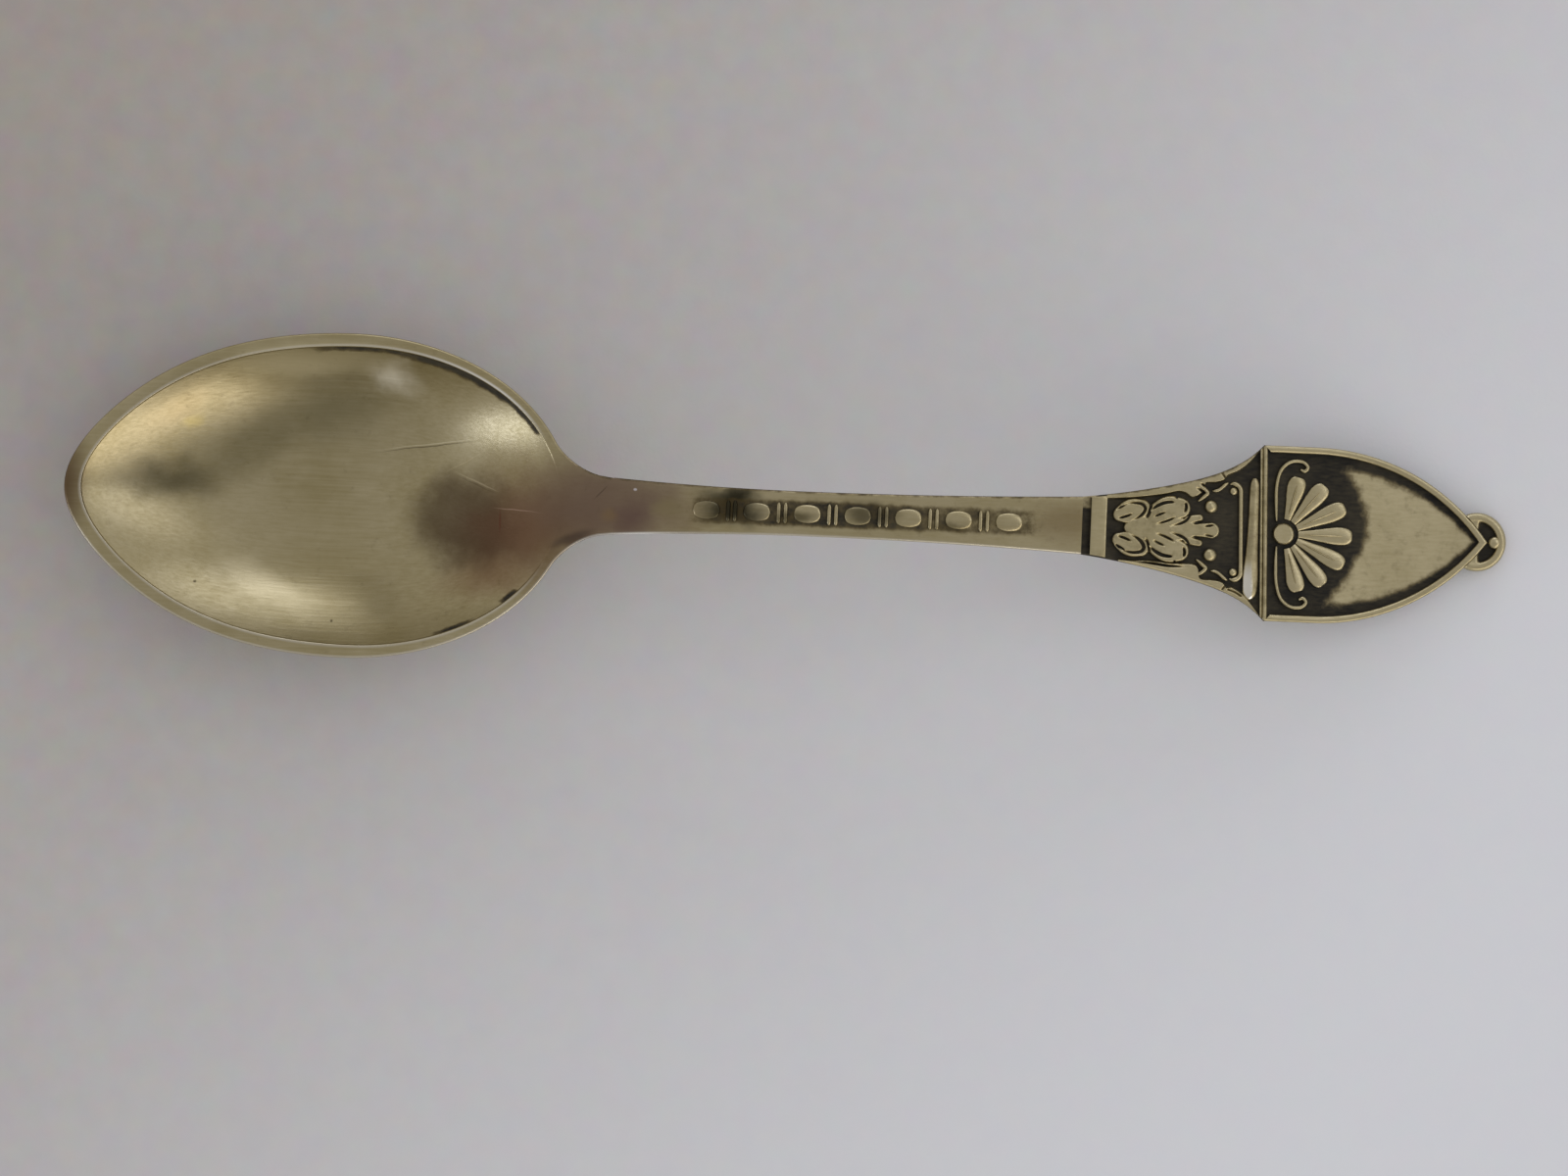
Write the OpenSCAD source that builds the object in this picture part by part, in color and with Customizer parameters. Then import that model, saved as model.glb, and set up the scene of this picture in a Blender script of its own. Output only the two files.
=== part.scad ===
// Teaspoon with an egg-shaped bowl, a slim arched stem and a leaf-and-shield terminal.
// X runs from the bowl to the finial, Z is up, and the origin is under the middle of the spoon.

/* [Spoon] */
// Length from the tip of the bowl to the end of the finial
spoon_length = 115; // [108:0.5:125]
// Rise of the neck above the front of the rim
neck_rise = 2.9; // [1.5:0.1:5]
// Rise of the stem's crest above the front of the rim
crest_rise = 5.4; // [3:0.1:8]
// Distance from the neck joint to the crest of the stem
crest_reach = 16; // [10:0.5:22]
// Thickness of the handle at the neck
neck_thickness = 2.2; // [1.6:0.05:3]
// Thickness of the handle at the finial
end_thickness = 1.3; // [1:0.05:2]
// Small rounding of the top edges
edge_round = 0.15; // [0.05:0.01:0.25]

/* [Bowl] */
// Length of the bowl's egg from tip to heel
bowl_length = 40.3; // [36:0.1:44]
// Width of the bowl over the rim
bowl_width = 25.8; // [22:0.1:29]
// Distance from the tip to the widest place
bowl_front = 22.6; // [20:0.1:25]
// Depth from the rim to the underside
bowl_depth = 6.9; // [6:0.1:9]
// Wall at the bottom of the bowl
bowl_wall = 0.9; // [0.6:0.05:1.4]
// Width of the flat rim band at the tip
rim_tip_band = 1.4; // [0.8:0.05:2]
// Width of the flat rim band at the heel
rim_heel_band = 0.8; // [0.4:0.05:1.4]
// Drop of the small step inside the rim band
rim_step = 0.15; // [0.05:0.01:0.4]
// Thickness of the rim's outer edge
rim_edge = 0.8; // [0.5:0.05:1.2]
// Depth of the flat worn under the bowl
worn_flat = 0.06; // [0.02:0.01:0.15]

/* [Stem] */
// Distance from the bowl's heel to the neck joint
neck_reach = 3.4; // [2:0.1:6]
// Width of the neck at the joint
neck_width = 4.54; // [3.6:0.02:6]
// Spread of the fillet on each side of the neck
heel_fillet = 2.7; // [1.5:0.1:4]
// Width of the stem at its waist
waist_width = 3.54; // [2.8:0.02:4.4]
// Distance from the neck joint to the waist
waist_reach = 15.3; // [8:0.1:22]
// Width of the stem where the leaf panel starts
shoulder_width = 4.6; // [3.8:0.02:6]
// Distance from the neck joint to the first bead of the ornament
beading_start = 7.4; // [5:0.1:9]
// Distance from bead to bead
bead_pitch = 4; // [3.6:0.05:4.1]
// Length of a bead
bead_length = 2.2; // [1.4:0.05:2.4]
// Width of a bead
bead_width = 1.5; // [0.8:0.05:2]
// Height of the beads and reels above the stem
bead_height = 0.24; // [0.1:0.01:0.4]
// Width of a reel along the stem
reel_width = 0.36; // [0.2:0.02:0.5]
// Gap between the two reels of a pair
reel_gap = 0.18; // [0.1:0.01:0.3]
// Length of a reel across the stem
reel_length = 1.7; // [1:0.05:2.2]

/* [Leaf panel] */
// Length of the leaf panel
panel_length = 14.6; // [13.5:0.1:17]
// Depth of the panel's sunk ground
panel_sink = 0.4; // [0.2:0.02:0.6]
// Width of each groove beside the collar
groove_width = 0.7; // [0.4:0.02:0.9]
// Width of the collar along the handle
collar_width = 1.25; // [0.8:0.05:1.5]
// Length of the leaf
leaf_length = 8.5; // [7:0.1:8.7]
// Width of the leaf over its widest lobes
leaf_width = 5; // [4:0.1:5.2]
// Width of an edge strap at its start
strap_width = 0.4; // [0.25:0.01:0.5]
// Width of an edge strap at its broad end
strap_end_width = 0.85; // [0.5:0.01:0.95]
// Radius of the two large pearls
pearl_radius = 0.55; // [0.35:0.01:0.6]
// Radius of the two small pearls
small_pearl_radius = 0.34; // [0.2:0.01:0.38]
// Width of the scroll bracket's line
bracket_line = 0.28; // [0.15:0.01:0.35]
// Width of the ledge moulding along the handle
ledge_width = 0.8; // [0.5:0.02:0.9]
// Half of the ledge moulding's length across the handle
ledge_half_length = 4.6; // [3:0.1:5]

/* [Shield] */
// Width of the shield
shield_width = 14; // [12:0.1:16]
// Length of the shield from its base to its point
shield_length = 18; // [16:0.1:20]
// Length of the shield's parallel sides
shield_straight = 4.2; // [2:0.1:6]
// Depth of the shield's sunk ground
shield_sink = 0.45; // [0.25:0.02:0.6]
// Width of the raised border
border_width = 0.5; // [0.3:0.02:0.7]
// Reach of the palmette's longest petal
palmette_reach = 5.6; // [4:0.1:6.5]
// Width of a palmette petal at its round end
petal_width = 1.5; // [0.8:0.05:1.7]
// Height of the palmette above the ground
petal_height = 0.36; // [0.15:0.01:0.42]

/* [Finial] */
// Outer radius of the finial
finial_radius = 2.35; // [1.9:0.05:2.8]
// Width of the finial's raised rim
finial_rim = 0.7; // [0.4:0.02:0.9]
// Reach of the shield's point past the finial's middle
tip_reach = 0.85; // [0.5:0.05:1]
// Radius of the finial's bead
finial_bead_radius = 0.5; // [0.3:0.01:0.52]

/* [Hidden] */
$fn = 48;

// Finishes
worn_silver = "#B5A880";
dark_silver = "#6B6250";

// Stations along the handle, measured from the tip of the bowl
neck_s = bowl_length + neck_reach;
crest_s = neck_s + crest_reach;
finial_s = spoon_length - finial_radius;
shield_tip_s = finial_s + tip_reach;
shield_s = shield_tip_s - shield_length;
panel_s = shield_s - panel_length;
collar_s = panel_s + groove_width;
leaf_s = collar_s + collar_width + groove_width;
ledge_s = shield_s - ledge_width/2 - edge_round;

// Side view: slopes of the spine at its stations
tip_slope = 0;
neck_slope = 0.25;
end_slope = -0.12;

// Bowl: how much the nose is drawn in, and how square the hollow and the back are
nose_share = 0.23;
cup_power = 2.4;
back_power = 2.3;
heel_ease_power = 7;
heel_ramp_power = 1.3;
heel_fade_power = 4;

// Handle: share of the thickness that stands upright at the edges, at the neck and at the panel
neck_side_share = 0.5;
panel_side_share = 0.85;

// Smoothness of the skins
bowl_steps = [for (a = [0 : 3 : 30]) a, for (a = [36 : 6 : 324]) a, for (a = [330 : 3 : 357]) a];
cup_shares = [0.05, 0.14, 0.25, 0.37, 0.5, 0.62, 0.73, 0.83, 0.91, 0.97, 1];
band_shares = [0, 0.5, 1];
back_shares = [1, 0.9, 0.78, 0.65, 0.52, 0.4, 0.29, 0.19, 0.1, 0.04];
stem_stations = 34;
panel_stations = 18;
shield_stations = 22;

function lerp(a, b, t) = a + (b - a)*t;

// Height on a smooth curve from a to b, with a slope at each end, at share t of the span
function ease(a, b, slope_a, slope_b, span, t) =
    (2*t^3 - 3*t^2 + 1)*a + (t^3 - 2*t^2 + t)*span*slope_a
    + (3*t^2 - 2*t^3)*b + (t^3 - t^2)*span*slope_b;

// Closed solid over rings that all have the same number of points
function ring_middle(ring) = [for (axis = [0 : 2]) ring_sum([for (p = ring) p[axis]])/len(ring)];
function ring_sum(values) = [for (v = values) 1]*values;
function side_faces(n, m, closed) = [
    for (r = [0 : m - (closed ? 1 : 2)], i = [0 : n - 1], upper = [true, false])
        let (a = r*n + i, b = r*n + (i + 1) % n, c = ((r + 1) % m)*n + i, d = ((r + 1) % m)*n + (i + 1) % n)
            upper ? [a, b, d] : [a, d, c]];

module skin(rings) {
    n = len(rings[0]);
    m = len(rings);
    first = n*m;
    caps = concat(
        [for (i = [0 : n - 1]) [first, (i + 1) % n, i]],
        [for (i = [0 : n - 1]) [first + 1, (m - 1)*n + i, (m - 1)*n + (i + 1) % n]]);
    middles = [ring_middle(rings[0]), ring_middle(rings[m - 1])];
    polyhedron(concat([for (ring = rings) each ring], middles), concat(side_faces(n, m, false), caps));
}

module skin_loop(rings) {
    polyhedron([for (ring = rings) each ring], side_faces(len(rings[0]), len(rings), true));
}

// The spine: height of the rim and of the handle's face, from the tip of the bowl to the finial
function bowl_spine(s) = ease(0, neck_rise, tip_slope, neck_slope, neck_s, s/neck_s);
function spine(s) = -floor_level + (
    s < neck_s ? bowl_spine(s)
    : s < crest_s ? ease(neck_rise, crest_rise, neck_slope, 0, crest_reach, (s - neck_s)/crest_reach)
    : ease(crest_rise, floor_level + end_thickness, 0, end_slope, spoon_length - crest_s,
        (s - crest_s)/(spoon_length - crest_s)));
function spine_tilt(s) = let (d = edge_round) -atan((spine(s + d) - spine(s - d))/(d + d));

// A point at station s, at y across the handle and h above its face
function at(s, y, h) = [s - spoon_length/2, y, spine(s) + h];

// The bowl's outline. The angle is 0 at the heel and 180 at the tip.
bowl_half = bowl_width/2;
bowl_heel = bowl_length - bowl_front;
neck_half = neck_width/2;
bowl_middle = [bowl_front, 0];
function egg(a) = cos(a) >= 0
    ? [bowl_front + bowl_heel*cos(a), bowl_half*sin(a)]
    : [bowl_front + bowl_front*cos(a), bowl_half*sin(a)*(1 - nose_share*cos(a)^4)];

// How far a point beside the neck is drawn out to the joint: 1 on the joint, 0 where the fillet ends
function neck_pull(a) = cos(a) <= 0 ? 0
    : let (v = (abs(egg(a)[1]) - neck_half)/heel_fillet)
        v <= 0 ? 1 : v >= 1 ? 0 : 1 - sqrt(1 - (1 - v)^2);
function bowl_outline(a) = let (p = egg(a)) [lerp(p[0], neck_s, neck_pull(a)), p[1]];
function rim_band(a) = lerp(rim_heel_band, rim_tip_band, (1 - cos(a))/2);
function cup_outline(a) = let (ray = egg(a) - bowl_middle) bowl_middle + ray*(1 - rim_band(a)/norm(ray));

// Near the neck the hollow runs out into the stem as a ramp
function heel_ease(a) = max(0, cos(a))^heel_ease_power;
function hollow(a, r, power) = lerp(1 - r^power, (1 - r^2)^heel_ramp_power, heel_ease(a));
function cup_step(a) = rim_step*(1 - heel_ease(a));
function cup_drop(a, r) = lerp(cup_step(a), bowl_depth - bowl_wall, hollow(a, r, cup_power));
function edge_drop(a) = let (pull = neck_pull(a), y = bowl_outline(a)[1])
    pull == 1 ? back_drop(neck_s, y/neck_half) : lerp(rim_edge, back_drop(neck_s, 1), pull);
function under_drop(a, r) = let (edge = lerp(rim_edge, edge_drop(a), r^heel_fade_power))
    lerp(edge, bowl_depth, hollow(a, r, back_power));
function scaled(p, r) = bowl_middle + (p - bowl_middle)*r;
function back_outline(a, r) = lerp(egg(a), bowl_outline(a), r^heel_fade_power);
function drawn_in(p, by) = let (ray = p - bowl_middle) bowl_middle + ray*(1 - by/norm(ray));

// Points of the bowl's surfaces at an angle: the hollow, the flat rim band and the back
function cup_point(a, r) = let (p = scaled(cup_outline(a), r)) [p[0], p[1], -cup_drop(a, r)];
function back_point(a, r) = let (p = scaled(back_outline(a, r), r)) [p[0], p[1], -under_drop(a, r)];
function band_point(a, t) = let (inner = drawn_in(cup_outline(a), -edge_round))
    let (p = lerp(inner, drawn_in(bowl_outline(a), edge_round), t)) [p[0], p[1], 0];
function edge_point(a) = let (p = bowl_outline(a)) [p[0], p[1], -edge_round];

// Level of the surface that the spoon lies on, counted from the front of the rim
floor_level = worn_flat + min([for (a = bowl_steps, r = back_shares)
    let (p = back_point(a, r)) bowl_spine(p[0]) + p[2]]);

function bowl_ring(points) = [for (p = points) let (q = at(p[0], p[1], p[2])) [q[0], q[1], max(0, q[2])]];
module bowl() {
    color(worn_silver) skin(concat(
        [for (r = cup_shares) bowl_ring([for (a = bowl_steps) cup_point(a, r)])],
        [for (t = band_shares) bowl_ring([for (a = bowl_steps) band_point(a, t)])],
        [bowl_ring([for (a = bowl_steps) edge_point(a)])],
        [for (r = back_shares) bowl_ring([for (a = bowl_steps) back_point(a, r)])]));
}

// The handle's back: thickness at station s and share v of the half width
function thickness(s) = lerp(neck_thickness, end_thickness, (s - neck_s)/(spoon_length - neck_s));
function side_share(s) = lerp(neck_side_share, panel_side_share, min(1, (s - neck_s)/(panel_s - neck_s)));
function back_drop(s, v) = thickness(s)*lerp(side_share(s), 1, sqrt(max(0, 1 - v^2)));

// Cross-section of the handle with its face sunk below the spine
back_angles = [0 : 22.5 : 180];
function handle_ring(s, half, sink) = let (shoulder = min(edge_round, half/2)) concat(
    [at(s, -half + shoulder, -sink), at(s, half - shoulder, -sink), at(s, half, -sink - shoulder)],
    [for (a = back_angles) at(s, half*cos(a), -back_drop(s, cos(a)))],
    [at(s, -half, -sink - shoulder)]);

waist_half = waist_width/2;
shoulder_half = shoulder_width/2;
waist_s = neck_s + waist_reach;
function stem_half(s) = s < waist_s
    ? lerp(waist_half, neck_half, ((waist_s - s)/waist_reach)^2)
    : lerp(waist_half, shoulder_half, ((s - waist_s)/(panel_s - waist_s))^2);

module stem() {
    color(worn_silver) skin([for (i = [0 : stem_stations])
        let (s = lerp(neck_s, panel_s, i/stem_stations)) handle_ring(s, stem_half(s), 0)]);
}

// Low half-round mound of relief on the face, seated at depth sink
mound_angles = [0 : 30 : 180];
mound_shares = [-0.98, -0.85, -0.6, -0.25, 0.25, 0.6, 0.85, 0.98];
function mound_ring(s, half, sink, height) = [for (a = mound_angles)
    at(s, -half*cos(a), -sink + height*sin(a))];
module mound(middle, half_length, half_width, sink, height) {
    skin([for (t = mound_shares) let (fade = sqrt(1 - t^2))
        mound_ring(middle + half_length*t, half_width*fade, sink, height*fade)]);
}

// Bead-and-reel ornament: as many beads as fit between the start and the collar's groove
bead_count = floor((panel_s - neck_s - beading_start - bead_length)/bead_pitch) + 1;
module stem_beading() {
    color(worn_silver) for (i = [0 : bead_count - 1]) {
        s = neck_s + beading_start + i*bead_pitch;
        reel_s = s + bead_pitch/2;
        reel_step = (reel_width + reel_gap)/2;
        mound(s, bead_length/2, bead_width/2, 0, bead_height);
        if (i < bead_count - 1)
            for (side = [-1, 1])
                mound(reel_s + side*reel_step, reel_width/2, reel_length/2, 0, bead_height);
    }
}

// Flared outline of the leaf panel: a straight share, a bowed share and a late flare before the shield
flare_straight_share = 0.372;
flare_bow_share = 0.341;
flare_late_share = 1 - flare_straight_share - flare_bow_share;
flare_late_power = 8;
shield_half = shield_width/2;
function panel_flare(t) = flare_straight_share*t + flare_bow_share*t^2 + flare_late_share*t^flare_late_power;
function panel_half(s) = lerp(shoulder_half, shield_half, panel_flare((s - panel_s)/panel_length));

module leaf_panel() {
    color(dark_silver) skin([for (i = [0 : panel_stations])
        let (s = lerp(panel_s, shield_s, i/panel_stations)) handle_ring(s, panel_half(s), panel_sink)]);
}

// Bar with a rounded top on the panel's ground, from y0 to y1 across the handle
function bar_ring(s, y0, y1) = let (shoulder = min(edge_round, (y1 - y0)/3))
    [at(s, y0, -panel_sink), at(s, y0, -shoulder), at(s, y0 + shoulder, 0),
        at(s, y1 - shoulder, 0), at(s, y1, -shoulder), at(s, y1, -panel_sink - edge_round),
        at(s, y1 - edge_round, -panel_sink)];

module collar() {
    shoulder = edge_round;
    stations = [[collar_s, -shoulder], [collar_s + shoulder, 0],
        [collar_s + collar_width - shoulder, 0], [collar_s + collar_width, -shoulder]];
    color(worn_silver) skin([for (p = stations) let (s = p[0], half = panel_half(s) - shoulder)
        [at(s, -half, -panel_sink), at(s, -half, p[1]), at(s, half, p[1]), at(s, half, -panel_sink)]]);
}

// Outline of the leaf as shares of its length and of its half width: two pairs of lobes,
// a pair of small lobes and a round tip
leaf_outline_shares = [[0, 0.2], [0.03, 0.55], [0.1, 0.84], [0.2, 0.94], [0.29, 0.88], [0.325, 0.6],
    [0.37, 0.78], [0.46, 0.98], [0.56, 1], [0.66, 0.9], [0.7, 0.6], [0.725, 0.32], [0.77, 0.5],
    [0.83, 0.48], [0.86, 0.2], [0.9, 0.28], [0.96, 0.26], [1, 0.12]];
// Height of the leaf across its half width: low midrib, raised lobes, rounded edge
leaf_height_shares = [[-1, 0], [-0.95, 0.6], [-0.8, 0.95], [-0.5, 1], [-0.2, 0.75], [0, 0.5],
    [0.2, 0.75], [0.5, 1], [0.8, 0.95], [0.95, 0.6], [1, 0]];
module leaf_spray() {
    color(worn_silver) skin([for (p = leaf_outline_shares) [for (q = leaf_height_shares)
        at(leaf_s + leaf_length*p[0], leaf_width/2*p[1]*q[0], panel_sink*(q[1] - 1))]]);
}

// Edge straps: a long one beside the leaf that broadens to its end, and a short one up to the shield
strap_break_share = 0.56;
strap_taper_share = 0.12;
strap_stations = 9;
strap_s = collar_s + collar_width + groove_width/2;
module strap(s0, s1, width0, width1) {
    skin([for (i = [0 : strap_stations])
        let (t = i/strap_stations, s = lerp(s0, s1, t), half = panel_half(s))
        let (end_fade = min(1, (1 - t)/strap_taper_share + strap_taper_share))
            bar_ring(s, half - lerp(width0, width1, t)*end_fade, half)]);
}
module edge_straps() {
    strap_break_s = lerp(strap_s, shield_s, strap_break_share);
    color(worn_silver) for (flip = [0, 1]) mirror([0, flip, 0]) {
        strap(strap_s, strap_break_s, strap_width, strap_end_width);
        strap(strap_break_s + edge_round, shield_s, strap_end_width, strap_width);
    }
}

// Round dome seated on the ground
module dome(s, y, sink, radius) {
    translate(at(s, y, -sink)) rotate([0, spine_tilt(s), 0]) difference() {
        sphere(radius);
        translate([-radius, -radius, -radius*2]) cube(radius*2);
    }
}

// The pearls and the bracket stand between the leaf's tip and the ledge
pearl_s = leaf_s + leaf_length - pearl_radius - edge_round;
pearl_place_share = 0.39;
small_pearl_place_share = 0.59;
pearl_y = leaf_width*pearl_place_share;
bracket_s = ledge_s - ledge_width/2 - bracket_line*2;
small_pearl_y = panel_half(bracket_s)*small_pearl_place_share;
curl_radius = small_pearl_radius + bracket_line;
small_pearl_s = bracket_s - curl_radius;
module pearls() {
    color(worn_silver) for (side = [-1, 1]) {
        dome(pearl_s, side*pearl_y, panel_sink, pearl_radius);
        dome(small_pearl_s, side*small_pearl_y, panel_sink, small_pearl_radius);
    }
}

// A thin line that curls round both small pearls and crosses the panel between them
curl_angles = [150 : -25 : 0];
function bracket_half() = [for (a = curl_angles)
    [[small_pearl_s + curl_radius*cos(a), small_pearl_y + curl_radius*sin(a)], a - 90]];
module scroll_bracket() {
    half_path = bracket_half();
    last = len(half_path) - 1;
    path = concat(half_path, [for (i = [last : -1 : 0])
        [[half_path[i][0][0], -half_path[i][0][1]], -180 - half_path[i][1]]]);
    color(worn_silver) skin([for (p = path) [for (a = mound_angles)
        let (across = -bracket_line/2*cos(a), left = p[1] + 90)
            at(p[0][0] + across*cos(left), p[0][1] + across*sin(left),
                -panel_sink + bracket_line*sin(a))]]);
}

// Half-round moulding with pointed ends across the panel under the shield
module ledge() {
    color(worn_silver) skin([for (t = mound_shares) let (fade = sqrt(1 - t^4))
        [for (a = mound_angles) at(ledge_s + ledge_width/2*fade*cos(a), ledge_half_length*t,
            -panel_sink + panel_sink*fade*sin(a))]]);
}

// The shield: parallel sides that bend into two arcs and meet in a point
arc_s = shield_s + shield_straight;
arc_length = shield_length - shield_straight;
arc_radius = (arc_length^2 + shield_half^2)/shield_width;
function shield_side(s, inset) = s < arc_s ? shield_half - inset
    : sqrt(max(0, (arc_radius - inset)^2 - (s - arc_s)^2)) - (arc_radius - shield_half);
blunt_share = 0.995;

module shield_plate() {
    color(dark_silver) skin([for (i = [0 : shield_stations])
        let (s = shield_s + shield_length*blunt_share*sin(90*i/shield_stations))
            handle_ring(s, shield_side(s, 0), shield_sink)]);
}

// Border points come in pairs, on the outer and on the inner outline
border_steps = 12;
function arc_end(inset) = acos((arc_radius - shield_half)/(arc_radius - inset));
function arc_point(inset, t) = let (a = arc_end(inset)*t, r = arc_radius - inset)
    [arc_s + r*sin(a), r*cos(a) - (arc_radius - shield_half)];
function border_side() = concat(
    [[[shield_s, shield_half], [shield_s + border_width, shield_half - border_width]]],
    [for (i = [0 : border_steps]) [arc_point(0, i/border_steps*blunt_share),
        arc_point(border_width, i/border_steps*blunt_share)]]);
crown_start_share = 0.3;
crown_end_share = 0.7;
border_section = [[0, -shield_sink - edge_round], [0, -edge_round], [crown_start_share, 0],
    [crown_end_share, 0], [1, -edge_round], [1, -shield_sink], [crown_start_share, -shield_sink]];
function border_ring(pair) = [for (q = border_section)
    let (p = lerp(pair[0], pair[1], q[0])) at(p[0], p[1], q[1])];
module shield_border() {
    side = border_side();
    last = len(side) - 1;
    other = [for (i = [last : -1 : 0]) [for (p = side[i]) [p[0], -p[1]]]];
    pairs = concat(other, side);
    color(worn_silver) skin_loop([for (i = [0 : len(pairs) - 1]) border_ring(pairs[i])]);
}

// Fan of petals rising from a boss at the shield's base
petal_angles = [-75, -50, -25, 0, 25, 50, 75];
petal_shares = [[0, 0.3], [0.2, 0.42], [0.45, 0.66], [0.7, 0.94], [0.85, 1], [0.95, 0.7], [1, 0.25]];
boss_share = 0.6;
side_reach_share = 0.8;
boss_radius = petal_width*boss_share;
palmette_s = shield_s + border_width + edge_round;
palmette_middle_s = palmette_s + boss_radius;
petal_start = boss_radius + edge_round + edge_round;
module petal(angle) {
    reach = palmette_reach*lerp(side_reach_share, 1, cos(angle));
    color(worn_silver) skin([for (p = petal_shares)
        let (along = lerp(petal_start, reach, p[0])) [for (a = mound_angles)
            let (across = -petal_width/2*p[1]*cos(a), rise = petal_height*p[1]*sin(a))
                at(palmette_middle_s + along*cos(angle) - across*sin(angle),
                    along*sin(angle) + across*cos(angle), -shield_sink + rise)]]);
}
module palmette() {
    for (angle = petal_angles) petal(angle);
    color(worn_silver) dome(palmette_middle_s, 0, shield_sink, boss_radius);
}

// The finial: a round lobe that wraps the shield's point, with a raised rim round a sunk ground
// Distance from the finial's middle to the shield's edge, in the direction of an angle
function point_edge(a) = let (ray = [cos(a), abs(sin(a))], e = [finial_s - arc_s, arc_radius - shield_half])
    sqrt((ray*e)^2 - e*e + arc_radius^2) - ray*e;
finial_angles = [-105 : 10 : 105];
finial_end_share = 0.95;
finial_ground = finial_radius - finial_rim;
finial_crown = finial_radius - finial_rim/2;
finial_section = [[0, -end_thickness], [0, -shield_sink], [finial_ground, -shield_sink],
    [finial_ground + edge_round, -edge_round], [finial_crown, 0], [finial_radius - edge_round, -edge_round],
    [finial_radius, -shield_sink], [finial_radius, -end_thickness]];
module finial_loop() {
    color(worn_silver) skin([for (a = finial_angles)
        let (inner = min(point_edge(a), finial_radius*finial_end_share)) [for (q = finial_section)
            let (r = max(inner, q[0])) at(finial_s + r*cos(a), r*sin(a), q[1])]]);
}

module finial_bead() {
    color(worn_silver)
        dome(spoon_length - finial_rim - finial_bead_radius, 0, shield_sink, finial_bead_radius);
}

bowl();
stem();
stem_beading();
leaf_panel();
collar();
leaf_spray();
edge_straps();
pearls();
scroll_bracket();
ledge();
shield_plate();
shield_border();
palmette();
finial_loop();
finial_bead();
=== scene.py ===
# %% [markdown]
# # A teaspoon in worn silver plate
# The spoon was struck flat between two dies, its bowl was pressed hollow, and the handle was bent last.
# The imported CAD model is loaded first: it fixes every size, and each new piece takes the place of one
# of its nodes.

# %% load the frame
import math

import bmesh
import bpy
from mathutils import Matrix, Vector, kdtree


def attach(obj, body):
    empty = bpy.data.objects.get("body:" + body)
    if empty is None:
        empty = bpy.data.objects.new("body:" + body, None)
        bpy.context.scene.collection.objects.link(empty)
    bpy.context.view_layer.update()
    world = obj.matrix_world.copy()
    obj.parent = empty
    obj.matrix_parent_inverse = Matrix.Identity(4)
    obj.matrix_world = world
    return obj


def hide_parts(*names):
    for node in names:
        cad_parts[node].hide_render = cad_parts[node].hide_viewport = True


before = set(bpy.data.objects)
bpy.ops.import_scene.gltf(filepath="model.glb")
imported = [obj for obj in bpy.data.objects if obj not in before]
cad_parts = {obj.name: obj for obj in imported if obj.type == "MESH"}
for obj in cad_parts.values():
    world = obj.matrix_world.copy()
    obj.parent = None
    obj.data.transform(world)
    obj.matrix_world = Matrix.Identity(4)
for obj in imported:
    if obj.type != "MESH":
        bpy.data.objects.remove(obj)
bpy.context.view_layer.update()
MM = 0.001

# %% [markdown]
# ## Camera
# The photograph looks straight down on the spoon, which lies a little clockwise of the picture's long
# side. A long lens keeps the arched stem and the low end of the handle at nearly one scale, so sizes
# that were read from the picture hold all along the spoon.

# %% camera
SPOON_LENGTH = 115.0
FRAME_WIDTH = 124.68
LENS = 300.0
SENSOR = 36.0
SPOON_LEVEL = 6.0
CAMERA_ROLL = 2.34
FRAME_MIDDLE = (0.0, -5.92)

camera = bpy.data.objects.new("camera", bpy.data.cameras.new("camera"))
camera.data.lens = LENS
camera.data.sensor_width = SENSOR
distance = FRAME_WIDTH * LENS / SENSOR
camera.location = Vector((*FRAME_MIDDLE, SPOON_LEVEL + distance)) * MM
camera.rotation_euler = (0.0, 0.0, math.radians(CAMERA_ROLL))
bpy.context.scene.collection.objects.link(camera)
bpy.context.scene.camera = camera
bpy.context.scene.view_settings.view_transform = "Standard"
print("camera stands", round(distance), "mm above the spoon")

# %% [markdown]
# ## Colours and nodes
# Colours are written as sRGB hex values and turned to linear light once, here. One small function adds
# a shader node from a list of what goes into it, and a few more stand for the nodes that are needed
# often: a noise of a size in millimetres, a blend of two colours, a ramp, a sum and a bump.

# %% helpers for materials
def linear(colour):
    channels = [int(colour[i:i + 2], 16) / 255 for i in (1, 3, 5)]
    return tuple(c / 12.92 if c <= 0.04045 else ((c + 0.055) / 1.055) ** 2.4 for c in channels) + (1.0,)


def per_mm(size):
    return 1 / (size * MM)


def add(tree, kind, inputs):
    # Each entry is a link from another node, the value of an input, or an option of the node
    node = tree.nodes.new(kind)
    for key, value in inputs.items():
        if isinstance(value, bpy.types.NodeSocket):
            tree.links.new(value, node.inputs[key])
        elif isinstance(key, int) or key in node.inputs:
            node.inputs[key].default_value = value
        else:
            setattr(node, key, value)
    return node


def noise(tree, where, size, detail, rough=0.5):
    return add(tree, "ShaderNodeTexNoise",
               {"Vector": where, "Scale": per_mm(size), "Detail": detail, "Roughness": rough})


def blend(tree, share, under, over):
    under, over = [linear(c) if isinstance(c, str) else c for c in (under, over)]
    return add(tree, "ShaderNodeMix", {"data_type": "RGBA", 0: share, 6: under, 7: over}).outputs[2]


def ramp(tree, value, low, high, least=0.0, most=1.0, easing="SMOOTHSTEP"):
    return add(tree, "ShaderNodeMapRange",
               {"interpolation_type": easing, "Value": value, "From Min": low, "From Max": high,
                "To Min": least, "To Max": most}).outputs["Result"]


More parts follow.
